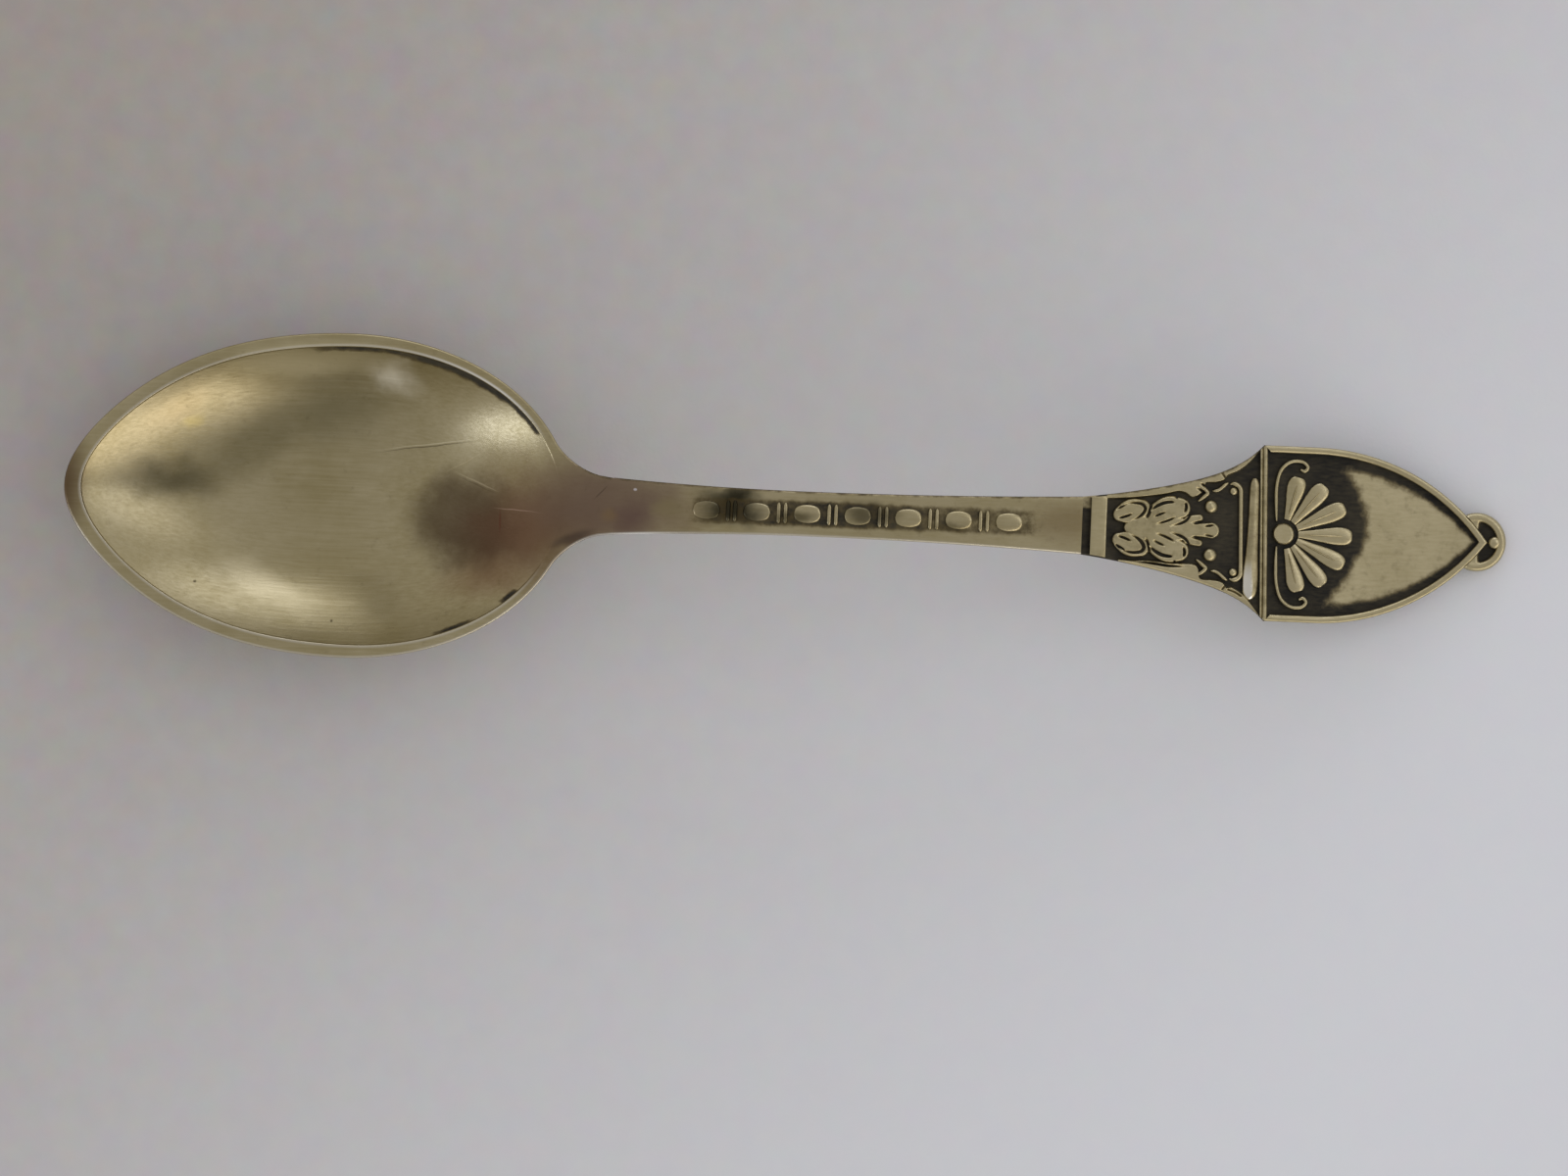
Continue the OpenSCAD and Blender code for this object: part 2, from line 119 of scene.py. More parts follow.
def scaled(tree, value, by, plus):
    return add(tree, "ShaderNodeMath",
               {"operation": "MULTIPLY_ADD", 0: value, 1: by, 2: plus}).outputs["Value"]


def bumped(tree, height, strength, depth, under=None):
    inputs = {"Height": height, "Strength": strength, "Distance": depth * MM}
    if under:
        inputs["Normal"] = under
    return add(tree, "ShaderNodeBump", inputs).outputs["Normal"]


print("a mid grey reads", [round(c, 3) for c in linear("#808080")])

# %% [markdown]
# ## Floor
# The spoon lies on a sheet of plain matt paper. Its surface is a felt of short fibres: a faint mottling
# in the colour and a shallow, fine bump are enough to keep it from looking like plastic. The colour also
# carries painted shade: away from the windows it fades to a warmer, greyer tone, for the light falling off.

# %% paper floor
PAPER_SIZE = 2400.0
PAPER_SHADE, PAPER_LIGHT = "#B5AEA8", "#ECEFF6"
FIBRE, FIBRE_DEPTH, FIBRE_STRENGTH = 0.35, 0.05, 0.25
MOTTLE, MOTTLE_SHARE = 2.2, 0.12
PAINTED_SHADE_START, PAINTED_SHADE_REACH, PAINTED_SHADE_TURN = (-60.0, 60.0, 0.0), 156.0, -40.0

paper = bpy.data.materials.new("matt_wove_paper")
paper.use_nodes = True
tree = paper.node_tree
shader = tree.nodes["Principled BSDF"]
where = add(tree, "ShaderNodeTexCoord", {}).outputs["Object"]
mottle = noise(tree, where, MOTTLE, detail=3.0)
fibres = noise(tree, where, FIBRE, detail=2.0)
# Painted shade: a gradient across the sheet blends the shade tone into the light tone, for the windows'
# fall-off
across = add(tree, "ShaderNodeMapping",
             {"vector_type": "TEXTURE", "Vector": where, "Location": Vector(PAINTED_SHADE_START) * MM,
              "Rotation": (0.0, 0.0, math.radians(PAINTED_SHADE_TURN)), "Scale": (PAINTED_SHADE_REACH * MM,) * 3})
painted_falloff = add(tree, "ShaderNodeTexGradient", {"gradient_type": "EASING", "Vector": across.outputs["Vector"]})
tone = blend(tree, painted_falloff.outputs["Fac"], PAPER_SHADE, PAPER_LIGHT)
tint = add(tree, "ShaderNodeMix",
           {"data_type": "RGBA", "blend_type": "OVERLAY", 0: MOTTLE_SHARE, 6: tone,
            7: mottle.outputs["Color"]})
felt = bumped(tree, fibres.outputs["Fac"], FIBRE_STRENGTH, FIBRE_DEPTH)
tree.links.new(tint.outputs[2], shader.inputs["Base Color"])
tree.links.new(felt, shader.inputs["Normal"])
shader.inputs["Roughness"].default_value = 0.85
shader.inputs["Specular IOR Level"].default_value = 0.2

floor_mesh = bmesh.new()
bmesh.ops.create_grid(floor_mesh, x_segments=4, y_segments=4, size=PAPER_SIZE / 2 * MM)
sheet = bpy.data.meshes.new("paper_floor")
floor_mesh.to_mesh(sheet)
floor_mesh.free()
sheet.materials.append(paper)
floor = bpy.data.objects.new("paper_floor", sheet)
bpy.context.scene.collection.objects.link(floor)
print("floor is", PAPER_SIZE, "mm wide")

# %% [markdown]
# ## Light
# The room is soft: low windows to the right, behind and to the left, under a plain pale ceiling that is
# a little darker over the side where the photographer stands. The hollow of the bowl gathers all of
# this like a mirror, which is why the windows stand where the bright patches of the bowl look.

# %% soft room and windows
# Each window has its place and size in mm, its power in watts and its colour
WINDOWS = {
    "window_right": ((485.0, -443.0, 208.0), (900.0, 240.0), 1.2, "#FFF6EA"),
    "window_far_right": ((489.0, 212.0, 396.0), (480.0, 200.0), 0.4, "#F4F4FA"),
    "window_behind": ((105.0, 648.0, 182.0), (470.0, 240.0), 0.62, "#EAEEFF"),
    "window_left": ((-653.0, -275.0, 105.0), (290.0, 160.0), 0.62, "#DFE7FF"),
}
for name, (place, size, power, colour) in WINDOWS.items():
    lamp = bpy.data.lights.new(name, "AREA")
    lamp.shape = "RECTANGLE"
    lamp.size, lamp.size_y = size[0] * MM, size[1] * MM
    lamp.energy = power
    lamp.color = linear(colour)[:3]
    window = bpy.data.objects.new(name, lamp)
    window.location = Vector(place) * MM
    window.rotation_euler = (-Vector(place)).to_track_quat("-Z", "Y").to_euler()
    bpy.context.scene.collection.objects.link(window)

# Strength of the room at the horizon and from a certain height upwards, with what the side adds to it
PHOTOGRAPHER = (0.77, -0.64, 0.0)
LOW_ROOM, CEILING, CEILING_FROM = 0.76, 0.53, 0.45
FAR_SIDE, NEAR_SIDE = 0.06, -0.07
world = bpy.data.worlds.new("soft_room")
world.use_nodes = True
bpy.context.scene.world = world
tree = world.node_tree
direction = add(tree, "ShaderNodeTexCoord", {}).outputs["Generated"]
height = add(tree, "ShaderNodeSeparateXYZ", {"Vector": direction}).outputs["Z"]
ceiling = ramp(tree, height, 0.0, CEILING_FROM, LOW_ROOM, CEILING)
toward = add(tree, "ShaderNodeVectorMath", {"operation": "DOT_PRODUCT", 0: direction, 1: PHOTOGRAPHER})
side = ramp(tree, toward.outputs["Value"], -1.0, 1.0, FAR_SIDE, NEAR_SIDE, easing="LINEAR")
room = add(tree, "ShaderNodeMath", {"operation": "ADD", 0: ceiling, 1: side})
tree.nodes["Background"].inputs["Color"].default_value = linear("#FBF8F6")
tree.links.new(room.outputs["Value"], tree.nodes["Background"].inputs["Strength"])
print("windows:", ", ".join(WINDOWS))

# %% [markdown]
# ## The metal
# The spoon is silver plate on a yellow nickel-silver body. The plate was satin-finished along the
# spoon, has gone olive-gold with a thin film of tarnish, and is worn where fingers rub. Dirt and black
# sulphide stay in the corners. One function makes each finish from the same layers: a drifting film
# colour, stains and painted patches of reflection at known places, lengthwise satin lines, and a grime
# value that every vertex carries. It is 1 in a recess, 0 on a worn top and below 0 where the colour is
# painted near white, partly real polish on rubbed edges and partly painted glints. Along upper edges a
# little of it is painted shade.

# %% aged silver
FILM_SIZE, FLECK_SIZE, DRIFT_SIZE = 8.0, 0.9, 2.5
SATIN_LENGTH, SATIN_WIDTH, SATIN_DEPTH, SATIN_STRENGTH = 7.0, 0.22, 0.02, 0.45
DENT_SIZE, DENT_DEPTH, DENT_STRENGTH = 5.0, 0.12, 0.25
FLECK_DEPTH, FLECK_STRENGTH, FLECK_SPREAD = 0.03, 0.12, 0.9
SATIN_SHARE, FILM_RANGE, FACE_RANGE = 0.5, (0.58, 0.95), (-0.25, 0.1)
DIRT_RANGE, HALO_RANGE, HALO_MOST = (0.3, 0.75), (0.05, 0.5), 0.75
# What the satin lines, dirt and polish add to the roughness, and dirt to the metal's share
SATIN_ROUGH, DIRT_ROUGH, POLISH_ROUGH, DIRT_METAL = 0.16, 0.3, -0.18, -0.6
PLATE_FILM = ("#B3A887", "#A0946E")
SULPHIDE = ("#0F0D08", "#474130")
# Brown of dirt halos and of the painted shade line on upper edges; near white of polish and painted glints
BROWN_HALO_AND_SHADE, POLISH_AND_GLINT = "#574A2E", "#EFEDE6"


def stained_and_painted(tree, where, colour, stains_and_painted_light):
    # Stains and painted reflections wander from their outline by a noise, so no edge is a clean ellipse
    drift = noise(tree, where, DRIFT_SIZE, detail=4.0)
    centred = add(tree, "ShaderNodeVectorMath",
                  {"operation": "SUBTRACT", 0: drift.outputs["Color"], 1: (0.5, 0.5, 0.5)})
    for place, size, turn, tone, strength, wander, soft in stains_and_painted_light:
        step = add(tree, "ShaderNodeVectorMath",
                   {"operation": "SCALE", 0: centred.outputs["Vector"], "Scale": wander * MM})
        moved = add(tree, "ShaderNodeVectorMath", {"operation": "ADD", 0: where, 1: step.outputs["Vector"]})
        local = add(tree, "ShaderNodeMapping",
                    {"vector_type": "TEXTURE", "Vector": moved.outputs["Vector"],
                     "Location": ((place[0] - SPOON_LENGTH / 2) * MM, place[1] * MM, 0.0),
                     "Rotation": (0.0, 0.0, math.radians(turn)),
                     "Scale": (size[0] * MM, size[1] * MM, 1.0)})
        spot = add(tree, "ShaderNodeTexGradient",
                   {"gradient_type": "SPHERICAL", "Vector": local.outputs["Vector"]})
        colour = blend(tree, ramp(tree, spot.outputs["Fac"], 0.0, soft, most=strength), colour, tone)
    return colour


def aged_silver(name, bright, warm, rough, stains_and_painted_light):
    material = bpy.data.materials.new(name)
    material.use_nodes = True
    tree = material.node_tree
    shader = tree.nodes["Principled BSDF"]
    coordinates = add(tree, "ShaderNodeTexCoord", {})
    where = coordinates.outputs["Object"]
    film = noise(tree, where, FILM_SIZE, detail=5.0, rough=0.6).outputs["Fac"]
    fleck = noise(tree, where, FLECK_SIZE, detail=5.0, rough=0.65).outputs["Fac"]
    dents = noise(tree, where, DENT_SIZE, detail=1.0).outputs["Fac"]
    drawn = add(tree, "ShaderNodeMapping",
                {"Vector": where,
                 "Scale": (per_mm(SATIN_LENGTH), per_mm(SATIN_WIDTH), per_mm(SATIN_WIDTH))})
    satin = add(tree, "ShaderNodeTexNoise",
                {"Vector": drawn.outputs["Vector"], "Scale": 1.0, "Detail": 3.0, "Roughness": 0.6})
    satin = satin.outputs["Fac"]
    film_share = ramp(tree, scaled(tree, satin, SATIN_SHARE, film), *FILM_RANGE, easing="LINEAR")

    # Stains and painted reflections lie on the spoon's face; its back has the same plain film on every
    # piece
    facing = add(tree, "ShaderNodeSeparateXYZ", {"Vector": coordinates.outputs["Normal"]}).outputs["Z"]
    face = ramp(tree, facing, *FACE_RANGE, easing="LINEAR")
    colour = stained_and_painted(tree, where, blend(tree, film_share, bright, warm), stains_and_painted_light)
    colour = blend(tree, face, blend(tree, film_share, *PLATE_FILM), colour)

    # Grime and painted light: the value on the vertices, broken up by flecks. Above 0 it browns and then
    # blackens the colour, for dirt and oxide and for the painted shade line along upper edges
    grime_and_painted_light = add(tree, "ShaderNodeAttribute", {"attribute_name": "grime_and_painted_light"}).outputs["Fac"]
    broken = scaled(tree, fleck, FLECK_SPREAD, -FLECK_SPREAD / 2)
    heaped = add(tree, "ShaderNodeMath", {"operation": "ADD", 0: grime_and_painted_light, 1: broken}).outputs["Value"]
    dirt = ramp(tree, heaped, *DIRT_RANGE)
    halo_and_edge_shade = ramp(tree, heaped, *HALO_RANGE, most=HALO_MOST)
    browned_and_shaded = blend(tree, halo_and_edge_shade, colour, BROWN_HALO_AND_SHADE)
    blackened = blend(tree, dirt, browned_and_shaded, blend(tree, film_share, *SULPHIDE))

    # A value below 0 paints the colour near white and makes it smoother: partly real polish on rubbed
    # edges, partly painted glints on lips and lower edges
    polish_and_glint = ramp(tree, grime_and_painted_light, 0.0, -1.0, easing="LINEAR")
    tone = blend(tree, polish_and_glint, blackened, POLISH_AND_GLINT)

    dented = bumped(tree, dents, DENT_STRENGTH, DENT_DEPTH)
    brushed = bumped(tree, satin, SATIN_STRENGTH, SATIN_DEPTH, dented)
    flecked = bumped(tree, fleck, FLECK_STRENGTH, FLECK_DEPTH, brushed)
    lines = scaled(tree, satin, SATIN_ROUGH, rough - SATIN_ROUGH / 2)
    dulled = scaled(tree, dirt, DIRT_ROUGH, lines)
    tree.links.new(tone, shader.inputs["Base Color"])
    tree.links.new(scaled(tree, polish_and_glint, POLISH_ROUGH, dulled), shader.inputs["Roughness"])
    tree.links.new(scaled(tree, dirt, DIRT_METAL, 1.0), shader.inputs["Metallic"])
    tree.links.new(flecked, shader.inputs["Normal"])
    print(name, "has", len(tree.nodes), "nodes and", len(stains_and_painted_light), "stains_and_painted_light")
    return material


# %% stains, painted reflections and finishes
# A stain or painted patch of reflection is its place on the spoon, its half sizes in mm, its turn, tone and
# strength, how far its edge wanders in mm, and the share of its radius over which it fades
STAINS_AND_PAINTED_LIGHT = [
    # Brown heel of the bowl, darkest where the hollow ends: a painted dark reflection of the camera, with
    # real brown tarnish running on into the neck; the thin line is painted shade where the ramp starts
    ((37.5, -1.6), (9.5, 7.0), 6.0, "#6C523E", 0.85, 2.5, 0.9),
    ((31.8, -1.5), (5.4, 4.9), 0.0, "#4A3A2A", 0.72, 2.6, 0.6),
    ((33.8, -3.0), (5.4, 4.6), 0.0, "#50392A", 0.5, 2.6, 1.0),
    ((36.4, -2.8), (5.4, 5.0), 0.0, "#704E3B", 0.25, 2.4, 1.0),
    ((33.6, -6.2), (5.4, 2.4), 10.0, "#7A5A40", 0.45, 1.5, 0.9),
    ((34.7, -1.5), (0.12, 1.4), 0.0, "#5A2E22", 0.5, 0.3, 0.8),
    # Neck
    ((44.0, 0.0), (9.0, 5.5), 0.0, "#756155", 0.8, 3.0, 0.8),
    ((40.6, -2.7), (2.4, 0.6), 24.0, "#463A36", 0.6, 0.6, 0.8),
    ((43.4, -0.7), (1.1, 0.9), 0.0, "#8A7350", 0.45, 1.0, 0.8),
    ((45.4, -0.6), (2.8, 2.2), 30.0, "#634B4B", 0.5, 3.0, 1.0),
    ((48.1, 0.0), (1.9, 1.3), 0.0, "#8E8260", 0.6, 1.0, 0.8),
    ((45.4, 1.4), (0.2, 0.14), 0.0, "#D2CED2", 0.8, 0.1, 0.6),
    ((42.7, 1.05), (1.0, 0.06), 47.0, "#3A302C", 0.6, 0.2, 0.8),
    # Painted reflections in the hollow: dark patches where it mirrors the camera and the dim ceiling,
    # pale patches and bands where it mirrors the windows
    ((8.4, 0.8), (6.2, 2.5), 2.0, "#3F3B28", 0.68, 2.6, 1.0),
    ((14.0, 3.6), (7.0, 3.2), 25.0, "#5C573A", 0.4, 3.0, 1.0),
    ((20.5, 7.0), (9.5, 4.4), 14.0, "#5C573A", 0.5, 3.0, 1.0),
    ((9.9, 5.5), (1.4, 0.6), 25.0, "#CDBB72", 0.4, 1.5, 1.0),
    ((8.8, 6.4), (4.4, 1.8), 32.0, "#CDB68C", 0.25, 2.0, 1.0),
    ((25.8, 9.85), (2.85, 1.75), -25.0, "#EEE8D4", 0.9, 2.6, 1.0),
    ((19.5, 10.8), (9.0, 1.9), 3.0, "#D3C9A6", 0.75, 1.0, 0.9),
    ((16.4, -7.3), (6.4, 2.0), -24.0, "#D8CCA6", 0.6, 2.5, 1.0),
    ((24.4, -8.0), (5.5, 2.6), -15.0, "#7A7052", 0.5, 2.5, 1.0),
    ((8.5, 8.0), (6.5, 1.2), 30.0, "#857A5C", 0.5, 1.0, 1.0),
    # Two specks, and the brown tip of the band
    ((10.6, -7.3), (0.2, 0.16), 0.0, "#3A3020", 0.8, 0.1, 0.8),
    ((21.6, -10.0), (0.16, 0.16), 0.0, "#3A3020", 0.8, 0.1, 0.8),
    ((-0.6, 0.0), (3.2, 7.6), 0.0, "#614D37", 0.9, 0.5, 0.8),
    # Creases and scratches; where a dark line lies beside a bright one, they are the painted shade and
    # painted highlight of one crease
    ((28.6, 4.18), (5.2, 0.07), 8.2, "#3F3826", 0.6, 0.25, 0.8),
    ((28.7, 4.36), (5.0, 0.07), 8.2, "#E0D7B6", 0.5, 0.25, 0.8),
    ((32.6, 1.6), (2.6, 0.1), -22.0, "#D8C9A8", 0.3, 0.4, 0.8),
    ((32.7, 1.32), (2.4, 0.08), -22.0, "#3B2F22", 0.3, 0.4, 0.8),
    ((36.0, -0.6), (2.4, 0.07), -4.0, "#B79A86", 0.45, 0.3, 0.8),
    ((31.6, 3.0), (2.0, 0.06), 30.0, "#CDBE9A", 0.4, 0.3, 0.8),
    # Stem
    ((53.2, 0.3), (3.6, 2.4), 0.0, "#26241A", 0.95, 3.0, 0.8),
    ((58.0, -0.4), (2.5, 0.9), 0.0, "#40391F", 0.7, 2.0, 0.8),
    ((64.0, 0.3), (3.2, 1.2), 0.0, "#332F20", 0.7, 2.0, 0.8),
    ((70.5, -0.5), (2.0, 0.7), 0.0, "#5A5030", 0.6, 2.0, 0.8),
    ((79.5, 0.2), (3.8, 2.4), 0.0, "#7C6A48", 0.55, 2.0, 0.8),
]
RELIEF_FILM, GROUND_FILM = ("#BBB08E", "#A79C77"), ("#C6BB98", "#AEA37F")
plate_silver = aged_silver("satin_silver_plate", *PLATE_FILM, rough=0.34, stains_and_painted_light=STAINS_AND_PAINTED_LIGHT)
relief_silver = aged_silver("struck_silver_plate_relief", *RELIEF_FILM, rough=0.36, stains_and_painted_light=[])
ground_silver = aged_silver("oxidised_silver_ground", *GROUND_FILM, rough=0.40, stains_and_painted_light=[])

# %% [markdown]
# ## A straight spoon, bent last
# Like the real blank, every piece is modelled on a straight handle: s runs from the tip of the bowl, y
# across it and h up from its face, in millimetres. The spine says how high the face lies at each
# station, and one function lays a finished mesh over it. Operators that need flat ground, such as a
# plane cut, can then work before the bend.

# %% spine and finishing
NECK_S, CREST_S, PANEL_S = 43.7, 59.7, 80.9
NECK_RISE, CREST_RISE, NECK_SLOPE, END_SLOPE = 2.9, 5.4, 0.25, -0.12
NECK_THICKNESS, END_THICKNESS = 2.2, 1.3
FLOOR_LEVEL = -6.7375
SHARP_ANGLE, WELD = 48.0, 1e-5
LEAN, LEAN_START, LEAN_FULL, LEAN_END = 0.035, 89.0, 94.0, 108.0


def lerp(a, b, t):
    return a + (b - a) * t


def smooth(low, high, value):
    t = min(1.0, max(0.0, (value - low) / (high - low)))
    return t * t * (3 - 2 * t)


def ease(a, b, slope_a, slope_b, span, t):
    # Cubic from a to b over a span, with a given slope at each end
    return ((2 * t**3 - 3 * t**2 + 1) * a + (t**3 - 2 * t**2 + t) * span * slope_a
            + (3 * t**2 - 2 * t**3) * b + (t**3 - t**2) * span * slope_b)


def spine(s):
    if s < NECK_S:
        rise = ease(0.0, NECK_RISE, 0.0, NECK_SLOPE, NECK_S, s / NECK_S)
    elif s < CREST_S:
        span = CREST_S - NECK_S
        rise = ease(NECK_RISE, CREST_RISE, NECK_SLOPE, 0.0, span, (s - NECK_S) / span)
    else:
        span = SPOON_LENGTH - CREST_S
        rise = ease(CREST_RISE, FLOOR_LEVEL + END_THICKNESS, 0.0, END_SLOPE, span, (s - CREST_S) / span)
    return rise - FLOOR_LEVEL


def leaned(s, y):
    # The dies met a little askew, so lines across the terminal lean towards the bowl at their upper end
    return s - LEAN * y * smooth(LEAN_START, LEAN_FULL, s) * (1 - smooth(LEAN_FULL, LEAN_END, s))


def finish_piece(shape, name, node, metal):
    bmesh.ops.remove_doubles(shape, verts=shape.verts, dist=WELD)
    for v in shape.verts:
        s, y, h = leaned(v.co.x, v.co.y), v.co.y, v.co.z
        v.co = Vector((s - SPOON_LENGTH / 2, y, max(0.0, spine(s) + h))) * MM
    bmesh.ops.recalc_face_normals(shape, faces=shape.faces)
    mesh = bpy.data.meshes.new(name)
    shape.to_mesh(mesh)
    shape.free()
    mesh.materials.append(metal)
    mesh.shade_smooth()
    mesh.set_sharp_from_angle(angle=math.radians(SHARP_ANGLE))
    piece = bpy.data.objects.new(name, mesh)
    bpy.context.scene.collection.objects.link(piece)
    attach(piece, "root")
    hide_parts(node)
    print(name, "has", len(mesh.polygons), "faces")


print("the stem's crest lies", round(spine(CREST_S), 2), "mm above the floor")

# %% [markdown]
# ## Lofts
# The bowl and the handle are long closed skins. A circle of vertices is the first ring, and each next
# ring is an extrusion of its edges. An integer layer remembers each vertex's place in the ring, and
# extruding copies that layer, so a formula can say where point i of ring k goes. A float layer of grime
# and painted light is filled at the same time: dirt and oxide, and painted shade and glint lines on edges.

# %% loft from ring to ring
def grime_and_light_layer(shape):
    return shape.verts.layers.float.get("grime_and_painted_light") or shape.verts.layers.float.new("grime_and_painted_light")


def loft(rings):
    shape = bmesh.new()
    order = shape.verts.layers.int.new("order")
    grime_and_painted_light = grime_and_light_layer(shape)
    ring = bmesh.ops.create_circle(shape, segments=len(rings[0]), radius=1.0)["verts"]
    for i, v in enumerate(ring):
        v[order] = i
    edges = list({e for v in ring for e in v.link_edges})
    first = edges
    for k, points in enumerate(rings):
        if k:
            grown = bmesh.ops.extrude_edge_only(shape, edges=edges)["geom"]
            ring = [g for g in grown if isinstance(g, bmesh.types.BMVert)]
            edges = [g for g in grown if isinstance(g, bmesh.types.BMEdge) and g.is_boundary]
        for v in ring:
            v.co = points[v[order]][:3]
            v[grime_and_painted_light] = points[v[order]][3]
    for end in (first, edges):
        cap = bmesh.ops.edgeloop_fill(shape, edges=end)["faces"]
        bmesh.ops.poke(shape, faces=cap)
    return shape


print("a loft is closed at both ends by a fan of faces")

# %% [markdown]
# ## Bowl
# The bowl is an egg, widest a little behind its middle, with a flat band round the hollow. Where the
# hollow meets the band there is a small rounded lip and a step below it, and old polish and tarnish
# have gathered in that corner. The hollow runs out into the stem at the heel.
# Rings of the loft go from the bottom of the hollow up to the lip, over the band and the outer edge,
# and back underneath, so the whole bowl is one closed skin of real thickness.

# %% bowl outline
BOWL_LENGTH, BOWL_WIDTH, BOWL_FRONT = 40.3, 25.8, 22.6
BOWL_DEPTH, BOWL_WALL = 6.9, 0.9
TIP_BAND, HEEL_BAND, RIM_STEP, RIM_EDGE = 1.4, 0.8, 0.15, 0.8
NECK_HALF, HEEL_FILLET = 2.27, 2.7
TIP_DRAW, HEEL_POWER, HEEL_HOLLOW = 0.23, 7, 1.6
NECK_SIDE, PANEL_SIDE = 0.5, 0.85
BOWL_HALF = BOWL_WIDTH / 2
BOWL_MIDDLE = Vector((BOWL_FRONT, 0.0))


def egg(a):
    c, y = math.cos(a), BOWL_HALF * math.sin(a)
    if c >= 0:
        return Vector((BOWL_FRONT + (BOWL_LENGTH - BOWL_FRONT) * c, y))
    return Vector((BOWL_FRONT + BOWL_FRONT * c, y * (1 - TIP_DRAW * c**4)))


def neck_pull(a):
    v = (abs(egg(a).y) - NECK_HALF) / HEEL_FILLET
    if math.cos(a) <= 0 or v >= 1:
        return 0.0
    return 1.0 if v <= 0 else 1 - math.sqrt(1 - (1 - v)**2)


def bowl_outline(a):
    p = egg(a)
    return Vector((lerp(p.x, NECK_S, neck_pull(a)), p.y))


def moved_out(p, by):
    ray = p - BOWL_MIDDLE
    return BOWL_MIDDLE + ray * (1 + by / ray.length)


def cup_outline(a):
    return moved_out(egg(a), -lerp(HEEL_BAND, TIP_BAND, (1 - math.cos(a)) / 2))


def heel_ease(a):
    # 1 at the heel, where the hollow runs out flat, and 0 over the front of the bowl
    return max(0.0, math.cos(a))**HEEL_POWER


def hollow(a, r, power):
    # Share of the full depth, at share r of the way from the middle to the lip
    return lerp(1 - r**power, (1 - r * r)**HEEL_HOLLOW, heel_ease(a))


def thickness(s):
    return lerp(NECK_THICKNESS, END_THICKNESS, (s - NECK_S) / (SPOON_LENGTH - NECK_S))


def back_drop(s, v):
    # The back is rounded: at its sides it has only a share of the full thickness
    side = lerp(NECK_SIDE, PANEL_SIDE, min(1.0, (s - NECK_S) / (PANEL_S - NECK_S)))
    return thickness(s) * lerp(side, 1.0, math.sqrt(max(0.0, 1 - v * v)))


print("the bowl's band is", TIP_BAND, "mm wide at the tip and", HEEL_BAND, "mm at the heel")

# %% [markdown]
# ### Dirt, painted shade and painted highlights along the edges
# Seen from above, the upper edge of the bowl's heel, the stem and the straps keeps a brown line, partly
# dirt and partly painted shade on the side away from the windows. The lower edge carries a painted
# highlight, brightest beside the neck. In the corner under the lip the dirt is in bands. Each band has its
# middle and reach in degrees round the bowl, its amount, and its width in mm.

# %% painted edge light and dirt on the bowl
EDGE_LINE = (0.08, 0.24)
EDGE_DIRT_AND_SHADE, EDGE_GLINT = 0.4, 0.35
NECK_GLINT_S, NECK_GLINT_REACH = 45.8, 2.6
BAND_FADE, BAND_DEPTH = (0.5, 1.0), (0.3, 1.0)
GRIME_BANDS = [(58.0, 22.0, 0.85, 0.7), (36.0, 12.0, 0.7, 0.5), (84.0, 20.0, 0.6, 0.45),
               (-58.0, 8.0, 0.65, 0.4), (-38.0, 4.0, 0.8, 0.5)]


def peak(value, middle, reach):
    return math.exp(-((value - middle) / reach)**2)


def edge_dirt_shade_and_glint(s, inset, y):
    # Upper edge: brown, partly dirt and partly painted shade; lower edge: a painted highlight, brightest at
    # the neck
    line = 1 - smooth(*EDGE_LINE, inset)
    if y > 0:
        return EDGE_DIRT_AND_SHADE * line
    return -lerp(EDGE_GLINT, 1.0, peak(s, NECK_GLINT_S, NECK_GLINT_REACH)) * line


def corner_grime(a, depth):
    turn = math.degrees(math.atan2(math.sin(a), math.cos(a)))
    most = 0.0
    for middle, reach, amount, width in GRIME_BANDS:
        fade = 1 - smooth(*BAND_FADE, abs(turn - middle) / reach)
        most = max(most, amount * fade * (1 - smooth(*BAND_DEPTH, depth / width)))
    return most


print("the dirt under the lip lies in", len(GRIME_BANDS), "bands")

# %% hollow and lip
BOWL_POINTS, CUP_RINGS, BAND_RINGS, EDGE_RINGS = 216, 44, 4, 5
HEEL_DENSITY = 0.62
CUP_POWER, BACK_POWER, RIM_POWER = 2.4, 2.3, 4
# The lip's section: distance out from the hollow in mm, and height in rim steps
LIP = [(0.03, -0.45), (0.06, -0.05), (0.11, 0.24), (0.17, 0.32), (0.24, 0.2), (0.34, 0.0)]
# A painted glint along the lip's crest: a little everywhere, strongest at one turn round the bowl
LIP_GLINT, GLINT_TURN, GLINT_SPREAD = 0.35, 48.0, 26.0
LIP_CREST, LIP_HEEL = (0.1, 0.3), (0.1, 0.6)
# Rounding of the band's edge, a painted highlight on its lower side, where that highlight starts, and where
# the painted edge line comes in at the heel
EDGE_ROUND, RIM_GLINT, RIM_SIDE, HEEL_EDGE_LIGHT = 0.22, 0.3, (0.1, 0.5), (0.0, 0.3)
JOINT_STEP, TURN_STEP = 0.03, 1e-3


def bowl_angle(i):
    # Points lie closer together at the heel, where the outline bends most
    t = math.tau * i / BOWL_POINTS
    return t - HEEL_DENSITY * math.sin(t)


def cup_point(a, r):
    p = BOWL_MIDDLE + (cup_outline(a) - BOWL_MIDDLE) * r
    step = RIM_STEP * (1 - heel_ease(a))
    depth = (1 - r) * (cup_outline(a) - BOWL_MIDDLE).length
    drop = lerp(step, BOWL_DEPTH - BOWL_WALL, hollow(a, r, CUP_POWER))
    return (p.x, p.y, -drop, corner_grime(a, depth))


